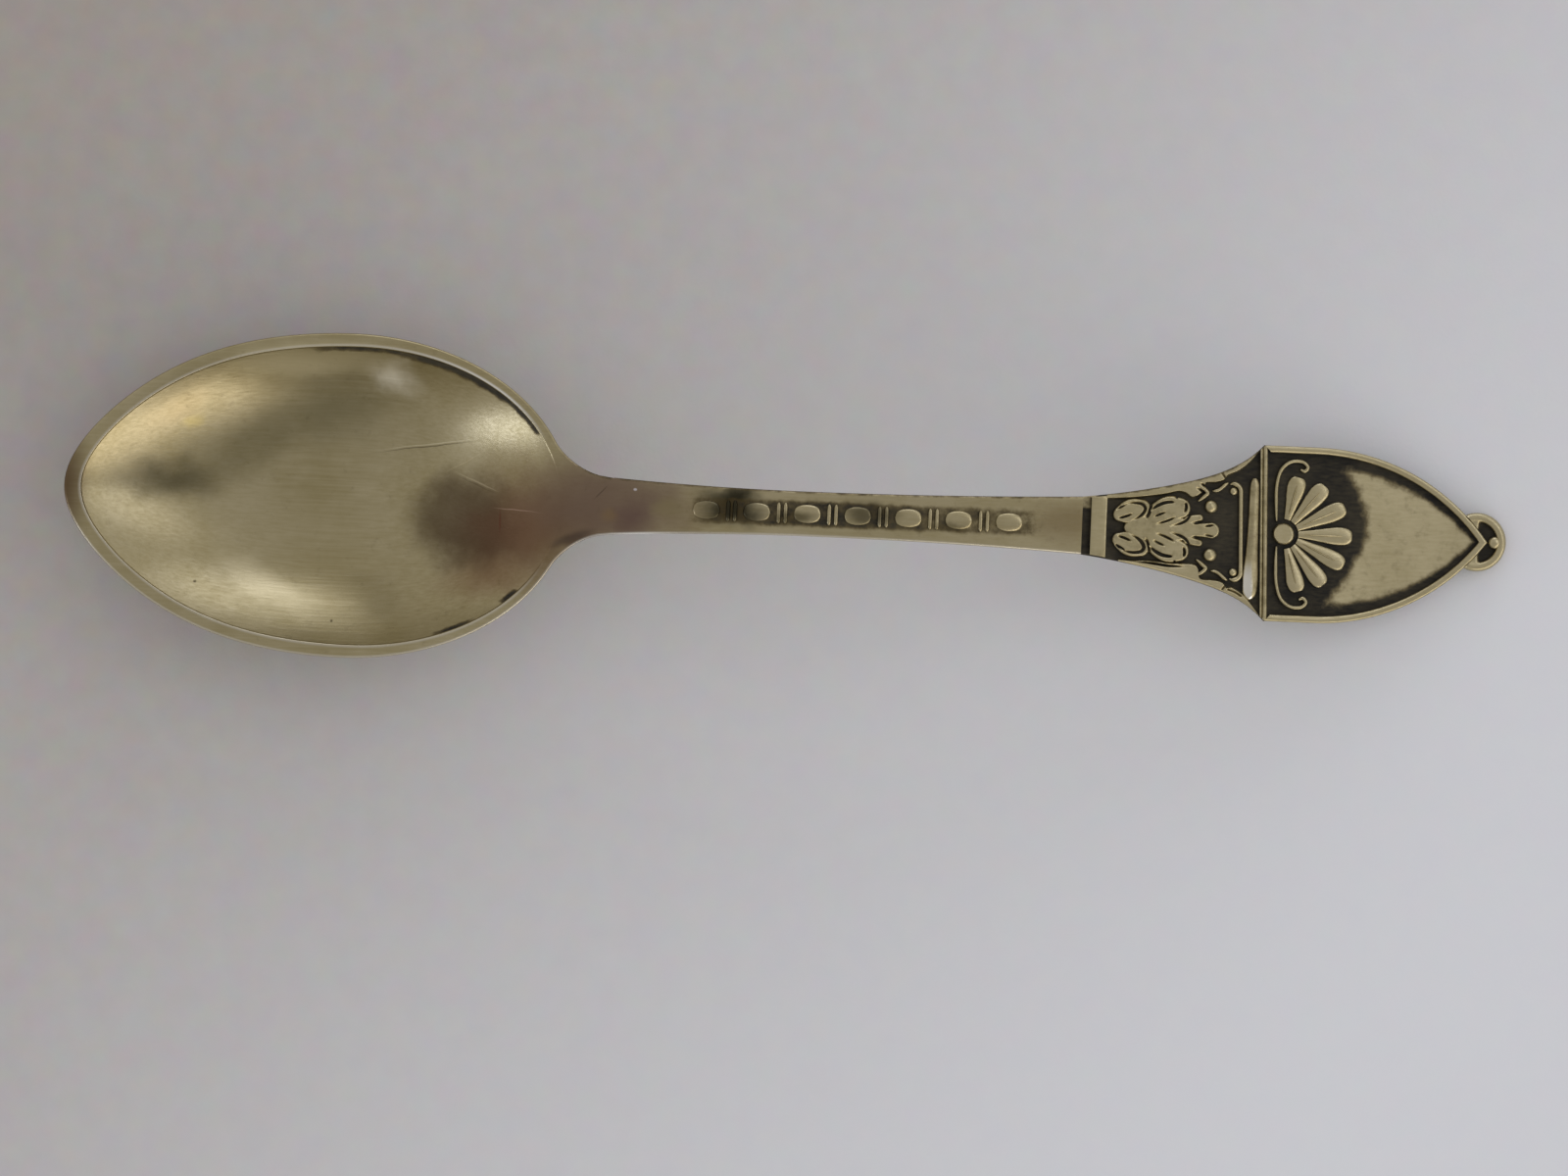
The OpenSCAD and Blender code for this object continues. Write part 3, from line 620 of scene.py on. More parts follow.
def lip_point(a, out, rise):
    p = moved_out(cup_outline(a), out)
    # Painted highlight on the lip's crest, fading out at the heel
    painted_glint = lerp(LIP_GLINT, 1.0, peak(math.degrees(a), GLINT_TURN, GLINT_SPREAD))
    painted_glint *= smooth(*LIP_CREST, rise) * (1 - smooth(*LIP_HEEL, heel_ease(a)))
    return (p.x, p.y, rise * RIM_STEP * (1 - heel_ease(a)), -painted_glint)


print("the lip stands up to", round(max(rise for out, rise in LIP) * RIM_STEP, 3), "mm above the band")


# %% band, edge and back
def drawn_in(a, by):
    # On the neck joint the outline only gets narrower; elsewhere it moves in along its own normal
    p = bowl_outline(a)
    if neck_pull(a) == 1:
        return Vector((NECK_S, p.y * (1 - by / NECK_HALF)))
    step = TURN_STEP if math.sin(a) >= 0 else -TURN_STEP
    ahead = bowl_outline(a + step) - p
    return p + Vector((-ahead.y, ahead.x)).normalized() * by * (1 if step > 0 else -1)


def face_level(y, half):
    # Height of the stem's face at y, with its softened edge
    over = (abs(y) - half + EDGE_ROUND) / EDGE_ROUND
    return 0.0 if over <= 0 else EDGE_ROUND * (math.sqrt(max(0.0, 1 - over * over)) - 1)


def band_point(a, t):
    p = moved_out(cup_outline(a), LIP[-1][0]).lerp(drawn_in(a, EDGE_ROUND), t)
    return (p.x, p.y, 0.0, 0.0)


def edge_point(a, t):
    p = drawn_in(a, EDGE_ROUND * (1 - math.sin(t)))
    pull = neck_pull(a)
    if pull == 1:
        edge_light = edge_dirt_shade_and_glint(p.x, NECK_HALF - abs(p.y), p.y)
        return (p.x, p.y, face_level(p.y, NECK_HALF) - JOINT_STEP * t, edge_light)
    # Painted highlight on the lower side of the band's edge; at the heel and neck, painted shade above and
    # a painted highlight below
    painted_glint = RIM_GLINT * smooth(*RIM_SIDE, -math.sin(a)) * (1 - pull)
    edge_light = edge_dirt_shade_and_glint(p.x, EDGE_ROUND * (1 - math.sin(t)), p.y) * smooth(*HEEL_EDGE_LIGHT, pull)
    return (p.x, p.y, EDGE_ROUND * (math.cos(t) - 1), edge_light - painted_glint)


def back_point(a, r):
    rim = r**RIM_POWER
    p = BOWL_MIDDLE + (egg(a).lerp(bowl_outline(a), rim) - BOWL_MIDDLE) * r
    pull = neck_pull(a)
    edge = (back_drop(NECK_S, bowl_outline(a).y / NECK_HALF) if pull == 1
            else lerp(RIM_EDGE, back_drop(NECK_S, 1.0), pull))
    return (p.x, p.y, -lerp(lerp(RIM_EDGE, edge, rim), BOWL_DEPTH, hollow(a, r, BACK_POWER)), 0.0)


print("the band's outer edge is rounded by", EDGE_ROUND, "mm")

# %% bowl
angles = [bowl_angle(i) for i in range(BOWL_POINTS)]
cup_shares = [math.sin(math.pi / 2 * i / CUP_RINGS) for i in range(1, CUP_RINGS + 1)]
rings = [[cup_point(a, r) for a in angles] for r in cup_shares]
rings += [[lip_point(a, out, rise) for a in angles] for out, rise in LIP]
rings += [[band_point(a, i / BAND_RINGS) for a in angles] for i in range(1, BAND_RINGS + 1)]
rings += [[edge_point(a, math.pi / 2 * i / EDGE_RINGS) for a in angles] for i in range(1, EDGE_RINGS + 1)]
rings += [[back_point(a, r) for a in angles] for r in reversed(cup_shares)]
finish_piece(loft(rings), "bowl_shell", "bowl", plate_silver)

# %% [markdown]
# ## Stem
# The stem is a flat bar with a rounded back, narrowest behind the neck and widening again to the
# panel. Its face is flat and its edges are softened by wear, so each edge catches a thin line of light.

# %% handle section and stem
WAIST_S, WAIST_HALF, SHOULDER_HALF = 59.0, 1.77, 2.3
FACE_POINTS, ROUND_POINTS, BACK_POINTS, STEM_RINGS = 25, 4, 21, 140
LEAST_SIDE = 0.05
POLISH_START, POLISH_END, POLISH_SIDE = (49.0, 51.0), (76.0, 78.5), (0.75, 1.25)
POLISH_LEAST, POLISH_MOST, POLISH_S, POLISH_REACH = 0.42, 0.62, 62.0, 6.0


def handle_ring(s, half, sink, soft, grime_and_light_at):
    # Once round the section: over the face, down one soft edge, along the back and up the other edge
    soft = min(soft, half / 2)
    flat = half - soft
    points = []
    for i in range(FACE_POINTS):
        y = lerp(-flat, flat, i / (FACE_POINTS - 1))
        points.append((s, y, -sink, grime_and_light_at(s, y)))
    for i in range(1, ROUND_POINTS + 1):
        turn = math.pi / 2 * i / ROUND_POINTS
        y = flat + soft * math.sin(turn)
        points.append((s, y, -sink - soft * (1 - math.cos(turn)), grime_and_light_at(s, y)))
    for i in range(BACK_POINTS):
        v = math.cos(math.pi * i / (BACK_POINTS - 1))
        points.append((s, half * v, -max(back_drop(s, v), sink + soft + LEAST_SIDE), 0.0))
    for i in range(ROUND_POINTS, 0, -1):
        turn = math.pi / 2 * i / ROUND_POINTS
        y = -flat - soft * math.sin(turn)
        points.append((s, y, -sink - soft * (1 - math.cos(turn)), grime_and_light_at(s, y)))
    return points


def stem_half(s):
    if s < WAIST_S:
        return lerp(WAIST_HALF, NECK_HALF, ((WAIST_S - s) / (WAIST_S - NECK_S))**2)
    return lerp(WAIST_HALF, SHOULDER_HALF, ((s - WAIST_S) / (PANEL_S - WAIST_S))**2)


def stem_grime_and_light(s, y):
    # Old polish lies beside the beading; the edges carry dirt and painted shade above and a painted
    # highlight below
    row = smooth(*POLISH_START, s) * (1 - smooth(*POLISH_END, s))
    beside = 1 - smooth(*POLISH_SIDE, abs(y))
    polish_rest = row * beside * lerp(POLISH_LEAST, POLISH_MOST, peak(s, POLISH_S, POLISH_REACH))
    return polish_rest + edge_dirt_shade_and_glint(s, stem_half(s) - abs(y), y)


stations = [lerp(NECK_S, PANEL_S, i / STEM_RINGS) for i in range(STEM_RINGS + 1)]
rings = [handle_ring(s, stem_half(s), 0.0, EDGE_ROUND, stem_grime_and_light) for s in stations]
finish_piece(loft(rings), "stem_bar", "stem", plate_silver)

# %% [markdown]
# ## Strokes of relief
# Beads, leaves, scrolls and petals are all raised strokes that the die left standing. A stroke starts
# as a ball: its poles become the two ends, its upper half becomes the rounded back, and its lower half
# is pressed flat on the ground. The ball is drawn along a smooth path through a few points, with its
# own width along the way. Its flanks carry grime and its back is worn bright. A skirt closes the pieces
# that start as a grid: it copies their faces down to just below the ground.

# %% stroke along a path
LINE = [0.35, 0.9, 1.0, 1.0, 1.0, 0.9, 0.35]
OVAL = [0.2, 0.66, 0.87, 0.97, 1.0, 0.97, 0.87, 0.66, 0.2]
FINGER = [0.35, 0.6, 0.8, 0.95, 1.0, 0.85, 0.4]
BURIED, POLE_SHARE, LOOK_AHEAD, ON_AXIS = 0.03, 0.05, 0.01, 1e-4
# Between these heights of its flank, as shares, a stroke goes from oxide to worn metal
FLANK_OXIDE, THIN_FLANK, BEAD_FLANK = (0.1, 0.5), (0.0, 0.3), (0.05, 0.35)


def along(values, t):
    # Smooth curve through a list of numbers or vectors, at share t of its length
    place = min(max(t, 0.0), 1.0) * (len(values) - 1)
    i = min(int(place), len(values) - 2)
    u = place - i
    a, b = values[max(i - 1, 0)], values[i]
    c, d = values[i + 1], values[min(i + 2, len(values) - 1)]
    return (b * 2 + (c - a) * u + (a * 2 - b * 5 + c * 4 - d) * u**2 + (b * 3 - a - c * 3 + d) * u**3) * 0.5


def stroke(shape, path, width, height, sink, shares, across=12, steps=24, flank=FLANK_OXIDE,
           crown=0.7):
    # A crown below 1 makes the back fuller than a half round
    grime_and_painted_light = grime_and_light_layer(shape)
    points = [Vector(p) for p in path]
    ball = bmesh.ops.create_uvsphere(shape, u_segments=across, v_segments=steps, radius=1.0)["verts"]
    for v in ball:
        t = math.acos(max(-1.0, min(1.0, -v.co.z))) / math.pi
        ring = math.hypot(v.co.x, v.co.y)
        pole = ring <= ON_AXIS
        side = 0.0 if pole else v.co.x / ring
        up = 0.0 if pole else max(v.co.y / ring, 0.0)
        ahead = along(points, t + LOOK_AHEAD) - along(points, t - LOOK_AHEAD)
        left = Vector((-ahead.y, ahead.x)).normalized()
        share = POLE_SHARE if pole else along(shares, t)
        p = along(points, t) + left * side * width / 2 * share
        v.co = (p.x, p.y, -sink + (height * share**0.5 * up**crown if up > 0 else -BURIED))
        v[grime_and_painted_light] = 1 - smooth(*flank, up)


def mirrored(path):
    return [(s, -y) for s, y in path]


def skirt(shape, faces, level):
    for part in bmesh.ops.extrude_face_region(shape, geom=faces)["geom"]:
        if isinstance(part, bmesh.types.BMVert):
            part.co.z = level


print("a stroke turns a ball into a line of relief that reaches", BURIED, "mm into the ground")

# %% [markdown]
# ## Beading on the stem
# A row of long beads with pairs of thin reels between them runs along the middle of the stem. Beads
# and reels are short strokes, lengthwise and crosswise.

# %% bead and reel
BEAD_START, BEAD_PITCH, BEADS = 51.1, 4.0, 7
BEAD_LENGTH, BEAD_WIDTH, BEAD_HEIGHT = 2.2, 1.5, 0.26
REEL_WIDTH, REEL_GAP, REEL_LENGTH = 0.36, 0.18, 1.7

shape = bmesh.new()
for i in range(BEADS):
    s = BEAD_START + i * BEAD_PITCH
    stroke(shape, [(s - BEAD_LENGTH / 2, 0), (s, 0), (s + BEAD_LENGTH / 2, 0)], BEAD_WIDTH, BEAD_HEIGHT,
           0.0, OVAL, across=24, crown=1.0, flank=BEAD_FLANK)
    if i < BEADS - 1:
        for side in (-1, 1):
            reel = s + BEAD_PITCH / 2 + side * (REEL_WIDTH + REEL_GAP) / 2
            stroke(shape, [(reel, -REEL_LENGTH / 2), (reel, 0), (reel, REEL_LENGTH / 2)], REEL_WIDTH,
                   BEAD_HEIGHT, 0.0, LINE)
finish_piece(shape, "stem_beads", "stem_beading", plate_silver)

# %% [markdown]
# ## Leaf panel
# Behind a deep groove and a flat collar the handle flares, and its face drops to a black oxidised
# ground. The oxide was left in the recesses on purpose, so that the bright relief stands out.

# %% panel ground
SHIELD_S, SHIELD_HALF = 95.5, 7.0
PANEL_LENGTH, PANEL_SINK, PANEL_SOFT, PANEL_RINGS = SHIELD_S - PANEL_S, 0.4, 0.12, 60
STRAIGHT_SHARE, BOWED_SHARE, FLARE_SHARE, FLARE_POWER = 0.372, 0.341, 0.287, 8
GROUND_OXIDE, GROOVE_LIGHTENING, GROOVE_END, LIGHTER_FROM = 0.95, 0.7, (81.9, 82.4), (1.2, 1.5)


def panel_half(s):
    # A straight share, a bowed share and a late flare just before the shield
    t = (s - PANEL_S) / PANEL_LENGTH
    share = STRAIGHT_SHARE * t + BOWED_SHARE * t**2 + FLARE_SHARE * t**FLARE_POWER
    return lerp(SHOULDER_HALF, SHIELD_HALF, share)


def panel_grime(s, y):
    # The groove before the collar is lighter at its upper end
    return GROUND_OXIDE - GROOVE_LIGHTENING * smooth(*LIGHTER_FROM, y) * (1 - smooth(*GROOVE_END, s))


stations = [lerp(PANEL_S, SHIELD_S, i / PANEL_RINGS) for i in range(PANEL_RINGS + 1)]
rings = [handle_ring(s, panel_half(s), PANEL_SINK, PANEL_SOFT, panel_grime) for s in stations]
finish_piece(loft(rings), "leaf_panel_ground", "leaf_panel", ground_silver)

# %% [markdown]
# ## Collar
# A flat bar across the handle, with a dark groove on each side. It is a box: the edges along its top
# are bevelled, and it is cut into slices so that it can follow the flare.

# %% collar
COLLAR_S, COLLAR_WIDTH, COLLAR_BEVEL, COLLAR_OXIDE = 81.6, 1.25, 0.14, (-0.3, 0.45)
shape = bmesh.new()
grime_and_painted_light = grime_and_light_layer(shape)
bmesh.ops.create_cube(shape, size=1.0)
top = [e for e in shape.edges if all(v.co.z > 0 for v in e.verts)]
bmesh.ops.bevel(shape, geom=top, offset=COLLAR_BEVEL, offset_type="OFFSET", segments=4, profile=0.5,
                affect="EDGES", material=-1)
bmesh.ops.subdivide_edges(shape, edges=shape.edges, cuts=2, use_grid_fill=True)
for v in shape.verts:
    s = COLLAR_S + COLLAR_WIDTH * (v.co.x + 0.5)
    h = -PANEL_SINK - BURIED + (PANEL_SINK + BURIED) * (v.co.z + 0.5)
    v[grime_and_painted_light] = 1 - smooth(*COLLAR_OXIDE, v.co.z)
    v.co = (s, (panel_half(s) - PANEL_SOFT) * 2 * v.co.y, h)
finish_piece(shape, "collar_bar", "collar", relief_silver)

# %% [markdown]
# ## Engraved lines
# On the die the leaf is one swelling form, and the folds between its lobes are lines cut into it. A
# line is a path with a half width. A search tree over points along all the lines tells each vertex how
# far it is from the flank of the nearest one: close to a line the vertex sinks and takes on oxide.

# %% engraving
LINE_SPACING, LOBE_SPACING = 0.03, 0.08
FLANK, FULL_DEPTH_HALF, LINE_OXIDE = 0.1, 0.05, (-0.03, 0.05)


def marks(lines, spacing):
    # Points along each line with the half width there, and a tree to search them
    points = []
    for route, halves in lines:
        path = [Vector(p) for p in route]
        count = math.ceil(sum((b - a).length for a, b in zip(path, path[1:])) / spacing)
        for i in range(count + 1):
            points.append((along(path, i / count), along(halves, i / count)))
    tree = kdtree.KDTree(len(points))
    for i, (p, half) in enumerate(points):
        tree.insert((p.x, p.y, 0.0), i)
    tree.balance()
    return tree, [half for p, half in points]


def engrave(shape, verts, lines, floor):
    grime_and_painted_light = shape.verts.layers.float["grime_and_painted_light"]
    tree, halves = marks(lines, LINE_SPACING)
    for v in verts:
        _, nearest, gap = tree.find((v.co.x, v.co.y, 0.0))
        half = halves[nearest]
        depth = min(1.0, half / FULL_DEPTH_HALF)
        share = (1 - smooth(-half, FLANK, gap - half)) * depth
        v.co.z = lerp(v.co.z, min(floor, v.co.z), share)
        v[grime_and_painted_light] = max(v[grime_and_painted_light], depth * (1 - smooth(*LINE_OXIDE, gap - half)))


print("engraved lines have flanks of", FLANK, "mm")

# %% [markdown]
# ## Leaf
# The leaf is an acanthus spray: two pairs of large lobes, a pair of small ones and a round tip, all
# grown together along a broad middle. Each lobe is a path with a half width, and a fine grid over the
# panel is lifted wherever it lies inside one, with a rounded edge. Grid vertices just at the edge are
# pulled on to it and the rest outside are deleted. The lines then cut a rolled rim and a few veins into
# each lobe. On the lower side the tool went deeper, so some of those lines are wider. A thin brown film
# is left on the whole leaf.

# %% lobes and lines of the leaf
LEAF_HEIGHT, LEAF_ROUND, LEAF_STEP, LEAF_FILM = 0.4, 0.22, 0.03, 0.1
LEAF_BOX = (83.2, 92.1, -2.8, 2.8)
LEAF_LINE_FLOOR, LEAF_OXIDE = -0.55 * PANEL_SINK, 0.06
DROPPED, PULLED = -0.7 * LEAF_STEP, 0.3 * LEAF_STEP
LOBES = [
    ([(83.9, 1.0), (84.8, 1.3), (85.65, 1.55)], [0.6, 1.0, 0.74]),
    ([(86.9, 1.25), (87.8, 1.6), (88.7, 1.7)], [0.88, 1.06, 0.86]),
    ([(89.3, 0.75), (89.8, 0.9), (90.3, 1.0)], [0.34, 0.36, 0.32]),
]
MIDDLE = ([(84.7, 0.0), (86.5, 0.0), (88.5, 0.02), (90.0, 0.03), (91.3, 0.04)],
          [0.5, 1.1, 1.0, 0.62, 0.66])
# Each line has its path on the upper side, and its half widths on the upper and on the lower side
LEAF_LINES = [
    ([(84.0, 1.75), (84.8, 1.95), (85.6, 1.9), (85.9, 1.55), (85.7, 1.12), (85.3, 0.78), (84.7, 0.48)],
     0.06, 0.1),
    ([(83.55, 1.35), (84.0, 1.62), (84.4, 1.85)], 0.035, 0.08),
    ([(83.75, 0.68), (84.3, 0.84), (85.0, 1.12)], 0.05, 0.05),
    ([(86.4, 2.2), (86.32, 1.6), (86.2, 1.15), (86.0, 0.7)], 0.08, 0.06),
    ([(86.35, 1.4), (86.8, 1.78), (87.35, 2.05), (87.9, 2.15), (88.3, 2.14)], 0.085, 0.11),
    ([(86.6, 0.9), (87.1, 1.15), (87.65, 1.36)], 0.04, 0.04),
    ([(86.8, 0.34), (87.7, 0.65), (88.45, 1.02)], 0.04, 0.045),
    ([(88.35, 2.9), (88.42, 2.45)], 0.12, 0.07),
    ([(89.08, 2.2), (89.17, 1.8), (89.05, 1.3)], 0.06, 0.06),
    ([(87.9, 0.22), (88.65, 0.44), (89.15, 0.7), (89.45, 1.1), (89.55, 1.5)], 0.055, 0.065),
    ([(89.75, 0.5), (90.3, 0.63), (90.85, 0.76)], 0.07, 0.07),
    ([(90.65, 0.32), (91.1, 0.4), (91.5, 0.48)], 0.045, 0.04),
]

print("the leaf has", 2 * len(LOBES), "lobes and", 2 * len(LEAF_LINES), "lines")

# %% leaf spray
lobes = [(flip(route), halves) for route, halves in LOBES for flip in (list, mirrored)] + [MIDDLE]
tree, halves = marks(lobes, LOBE_SPACING)
reach = max(halves) + LEAF_STEP
shape = bmesh.new()
grime_and_painted_light = grime_and_light_layer(shape)
s0, s1, y0, y1 = LEAF_BOX
grid = bmesh.ops.create_grid(shape, x_segments=round((s1 - s0) / LEAF_STEP),
                             y_segments=round((y1 - y0) / LEAF_STEP), size=0.5)["verts"]
outside = []
for v in grid:
    p = Vector((lerp(s0, s1, v.co.x + 0.5), lerp(y0, y1, v.co.y + 0.5), 0.0))
    inside, middle = -1.0, p
    for place, i, gap in tree.find_range(p, reach):
        if halves[i] - gap > inside:
            inside, middle = halves[i] - gap, place
    if inside < DROPPED:
        outside.append(v)
    elif inside < PULLED:
        p -= (middle - p).normalized() * inside
        inside = 0.0
    edge = 1 - min(1.0, max(0.0, inside) / LEAF_ROUND)
    v.co = (p.x, p.y, -PANEL_SINK + LEAF_HEIGHT * math.sqrt(1 - edge * edge))
    v[grime_and_painted_light] = max(LEAF_FILM, 1 - smooth(0.0, LEAF_OXIDE, inside))
lines = [(flip(route), [0.0, half, half, 0.0]) for route, upper, lower in LEAF_LINES
         for flip, half in ((list, upper), (mirrored, lower))]
engrave(shape, grid, lines, LEAF_LINE_FLOOR)
bmesh.ops.delete(shape, geom=outside, context="VERTS")
skirt(shape, list(shape.faces), -PANEL_SINK - BURIED)
finish_piece(shape, "leaf_spray_relief", "leaf_spray", relief_silver)

# %% [markdown]
# ## Edge straps
# Along both edges of the panel runs a raised strap. It broadens to a lobe beside the leaf's tip, breaks
# off, swells again and runs out at the shield. Its outer edge is the panel's own, so only the inner
# edge is drawn. A folded hook lies against each lobe, and a thin tendril curls away behind it. A few
# lines are engraved across the lobes and along the lower strap.

# %% edges and lines of the straps
STRAP_STEPS, STRAP_ACROSS = 300, 34
STRAP_FLANK, STRAP_FOOT, STRAP_INSET, STRAP_BURIED = 0.2, 0.08, 0.02, 0.1
EDGE_DROP, EDGE_FALL = 0.2, 0.2
STRAP_LINE_FLOOR = -0.6 * PANEL_SINK
UPPER_EDGE = [(82.8, 2.1), (84.5, 2.24), (86.0, 2.42), (87.5, 2.68), (88.5, 2.92), (89.1, 2.8),
              (89.6, 2.48), (90.0, 2.62), (90.35, 2.86), (90.55, 3.1), (90.62, 3.4), (90.7, 3.68),
              (90.95, 3.74), (91.6, 3.78), (92.2, 3.98), (92.45, 4.3), (92.7, 4.45), (93.3, 4.7),
              (93.9, 5.1), (94.5, 5.68), (95.1, 6.4)]
LOWER_EDGE = [(83.9, 2.45), (85.2, 2.5), (86.5, 2.45), (88.0, 2.58), (89.4, 2.56), (90.0, 2.62),
              (90.25, 2.85), (90.32, 3.2), (90.4, 3.6), (90.7, 3.76), (91.5, 3.78), (92.1, 3.9),
              (92.4, 4.15), (92.52, 4.35), (92.9, 4.3), (93.4, 4.55), (93.9, 4.95), (94.5, 5.6),
              (95.1, 6.4)]
UPPER_LINES = [([(89.9, 3.42), (90.3, 3.22), (90.56, 3.0)], [0.0, 0.05, 0.05]),
               ([(90.2, 3.78), (90.5, 3.62), (90.75, 3.42)], [0.0, 0.05, 0.05]),
               ([(92.05, 4.65), (92.2, 4.42), (92.38, 4.2)], [0.03, 0.03])]
LOWER_LINES = [([(84.6, -2.6), (86.5, -2.76), (88.0, -2.92), (89.6, -2.92)], [0.0, 0.05, 0.05, 0.0]),
               ([(92.2, -4.6), (92.35, -4.4), (92.5, -4.2)], [0.03, 0.03]),
               ([(92.65, -4.6), (93.2, -4.8), (93.65, -5.08)], [0.03, 0.03])]
HOOK = [(90.0, 3.62), (90.45, 3.42), (90.75, 3.18), (90.9, 2.98), (90.72, 2.8), (90.45, 2.56),
        (90.1, 2.3)]
TENDRIL = [(91.25, 3.16), (91.68, 3.22), (91.98, 3.4), (92.25, 3.64), (92.6, 3.9)]
HOOK_WIDTH, HOOK_HEIGHT = 0.36, 0.95 * PANEL_SINK
TENDRIL_WIDTH, TENDRIL_HEIGHT = 0.32, 0.9 * PANEL_SINK
print("the straps carry", len(UPPER_LINES) + len(LOWER_LINES), "lines")


# %% straps, hooks and tendrils
def strap(shape, side, inner_edge, lines):
    grime_and_painted_light = grime_and_light_layer(shape)
    body = bmesh.ops.create_grid(shape, x_segments=STRAP_STEPS, y_segments=STRAP_ACROSS, size=0.5)["verts"]
    faces = list({f for v in body for f in v.link_faces})
    inner_points = [Vector(p) for p in inner_edge]
    for v in body:
        inner = along(inner_points, v.co.x + 0.5)
        outer = panel_half(inner.x) - STRAP_INSET
        y = lerp(inner.y, outer, (1 - math.cos(math.pi * (v.co.y + 0.5))) / 2)
        rise = smooth(0.0, STRAP_FLANK, y - inner.y) - EDGE_DROP * (1 - smooth(0.0, EDGE_FALL, outer - y))
        foot = 1 - smooth(0.0, STRAP_FOOT, y - inner.y)
        # Oxide at the inner foot; at the outer edge, dirt and painted shade on the upper strap and a
        # painted highlight on the lower
        v[grime_and_painted_light] = foot if foot > 0 else edge_dirt_shade_and_glint(inner.x, outer - y, side)
        v.co = (inner.x, side * y, PANEL_SINK * (rise - 1))
    engrave(shape, body, lines, STRAP_LINE_FLOOR)
    skirt(shape, faces, -PANEL_SINK - STRAP_BURIED)


shape = bmesh.new()
strap(shape, 1, UPPER_EDGE, UPPER_LINES)
strap(shape, -1, LOWER_EDGE, LOWER_LINES)
for flip in (list, mirrored):
    stroke(shape, flip(HOOK), HOOK_WIDTH, HOOK_HEIGHT, PANEL_SINK, LINE, steps=48, flank=THIN_FLANK)
    stroke(shape, flip(TENDRIL), TENDRIL_WIDTH, TENDRIL_HEIGHT, PANEL_SINK, LINE, steps=36,
           flank=THIN_FLANK)
finish_piece(shape, "edge_strapwork", "edge_straps", relief_silver)

# %% [markdown]
# ## Pearls and bracket
# Two large and two small round pearls stand between the leaf and the ledge. A thin line crosses the
# panel behind them and curls round the small ones. A pearl is a ball cut level with the ground.

# %% pearls
PEARLS = [(91.2, 1.92, 0.55), (93.03, 3.22, 0.34)]
PEARL_RISE, PEARL_OXIDE, PEARL_ACROSS, PEARL_STEPS = 0.9, (0.05, 0.45), 28, 16


def pearl(shape, s, y, radius, sink):
    grime_and_painted_light = grime_and_light_layer(shape)
    ball = bmesh.ops.create_uvsphere(shape, u_segments=PEARL_ACROSS, v_segments=PEARL_STEPS, radius=radius)
    for v in ball["verts"]:
        v[grime_and_painted_light] = 1 - smooth(*PEARL_OXIDE, v.co.z / radius)
        v.co = (s + v.co.x, y + v.co.y, v.co.z * PEARL_RISE - sink if v.co.z > 0 else -sink - BURIED)


shape = bmesh.new()
for s, y, radius in PEARLS:
    for side in (1, -1):
        pearl(shape, s, side * y, radius, PANEL_SINK)
finish_piece(shape, "pearls_round", "pearls", relief_silver)

# %% scroll bracket
BRACKET_LINE, BRACKET_HEIGHT, BRACKET_SHARES = 0.4, 0.3, [0.3] + [1.0] * 9 + [0.3]
CURL, CURL_DEGREES, STRAIGHT_Y = 0.6, range(120, -1, -15), (2.6, 1.7, 0.8)
pearl_s, pearl_y, _ = PEARLS[1]
curl = [(pearl_s + CURL * math.cos(math.radians(a)), pearl_y + CURL * math.sin(math.radians(a)))
        for a in CURL_DEGREES]
straight = [(pearl_s + CURL, y) for y in STRAIGHT_Y]
half_path = curl + straight
shape = bmesh.new()
stroke(shape, half_path + [(pearl_s + CURL, 0.0)] + mirrored(reversed(half_path)), BRACKET_LINE,
       BRACKET_HEIGHT, PANEL_SINK, BRACKET_SHARES, steps=120, flank=THIN_FLANK)
finish_piece(shape, "bracket_scroll", "scroll_bracket", relief_silver)

# %% [markdown]
# ## Ledge
# A half-round moulding with pointed ends closes the panel under the shield. A brown film is left on it,
# but at its lower end, on the side towards the leaf, a painted highlight makes it near white and smooth.

# %% ledge
LEDGE_WIDTH = 1.0
LEDGE_FILM, LEDGE_HIGHLIGHT, LEDGE_FLANK = 0.22, 0.8, (0.0, 0.2)
HIGHLIGHT_S, HIGHLIGHT_EDGE, HIGHLIGHT_Y = 94.6, 0.1, (1.5, 3.8)
LEDGE_SHARES = [0.3, 1.0, 1.25, 1.3, 1.25, 1.15, 1.05, 1.0, 0.95, 0.9, 0.88, 0.86, 0.84, 0.82, 0.7, 0.3]
LEDGE_PATH = [(94.32, -5.4), (94.58, -0.6), (94.76, 4.4)]
shape = bmesh.new()
stroke(shape, LEDGE_PATH, LEDGE_WIDTH, PANEL_SINK, PANEL_SINK, LEDGE_SHARES, across=28, steps=60,
       flank=LEDGE_FLANK)
grime_and_painted_light = shape.verts.layers.float["grime_and_painted_light"]
for v in shape.verts:
    # Painted highlight near the lower end, on the side towards the leaf
    painted_highlight = smooth(*HIGHLIGHT_Y, -v.co.y) * smooth(0.0, HIGHLIGHT_EDGE, HIGHLIGHT_S - v.co.x)
    v[grime_and_painted_light] += LEDGE_FILM * (1 - painted_highlight) - LEDGE_HIGHLIGHT * painted_highlight
finish_piece(shape, "ledge_moulding", "ledge", relief_silver)

# %% [markdown]
# ## Shield
# The shield has parallel sides that bend into two arcs and meet in a point. Its ground is black with
# oxide along the border and round the relief, and rubbed to bright satin metal in the open field
# towards the point, with a ragged edge between the two.

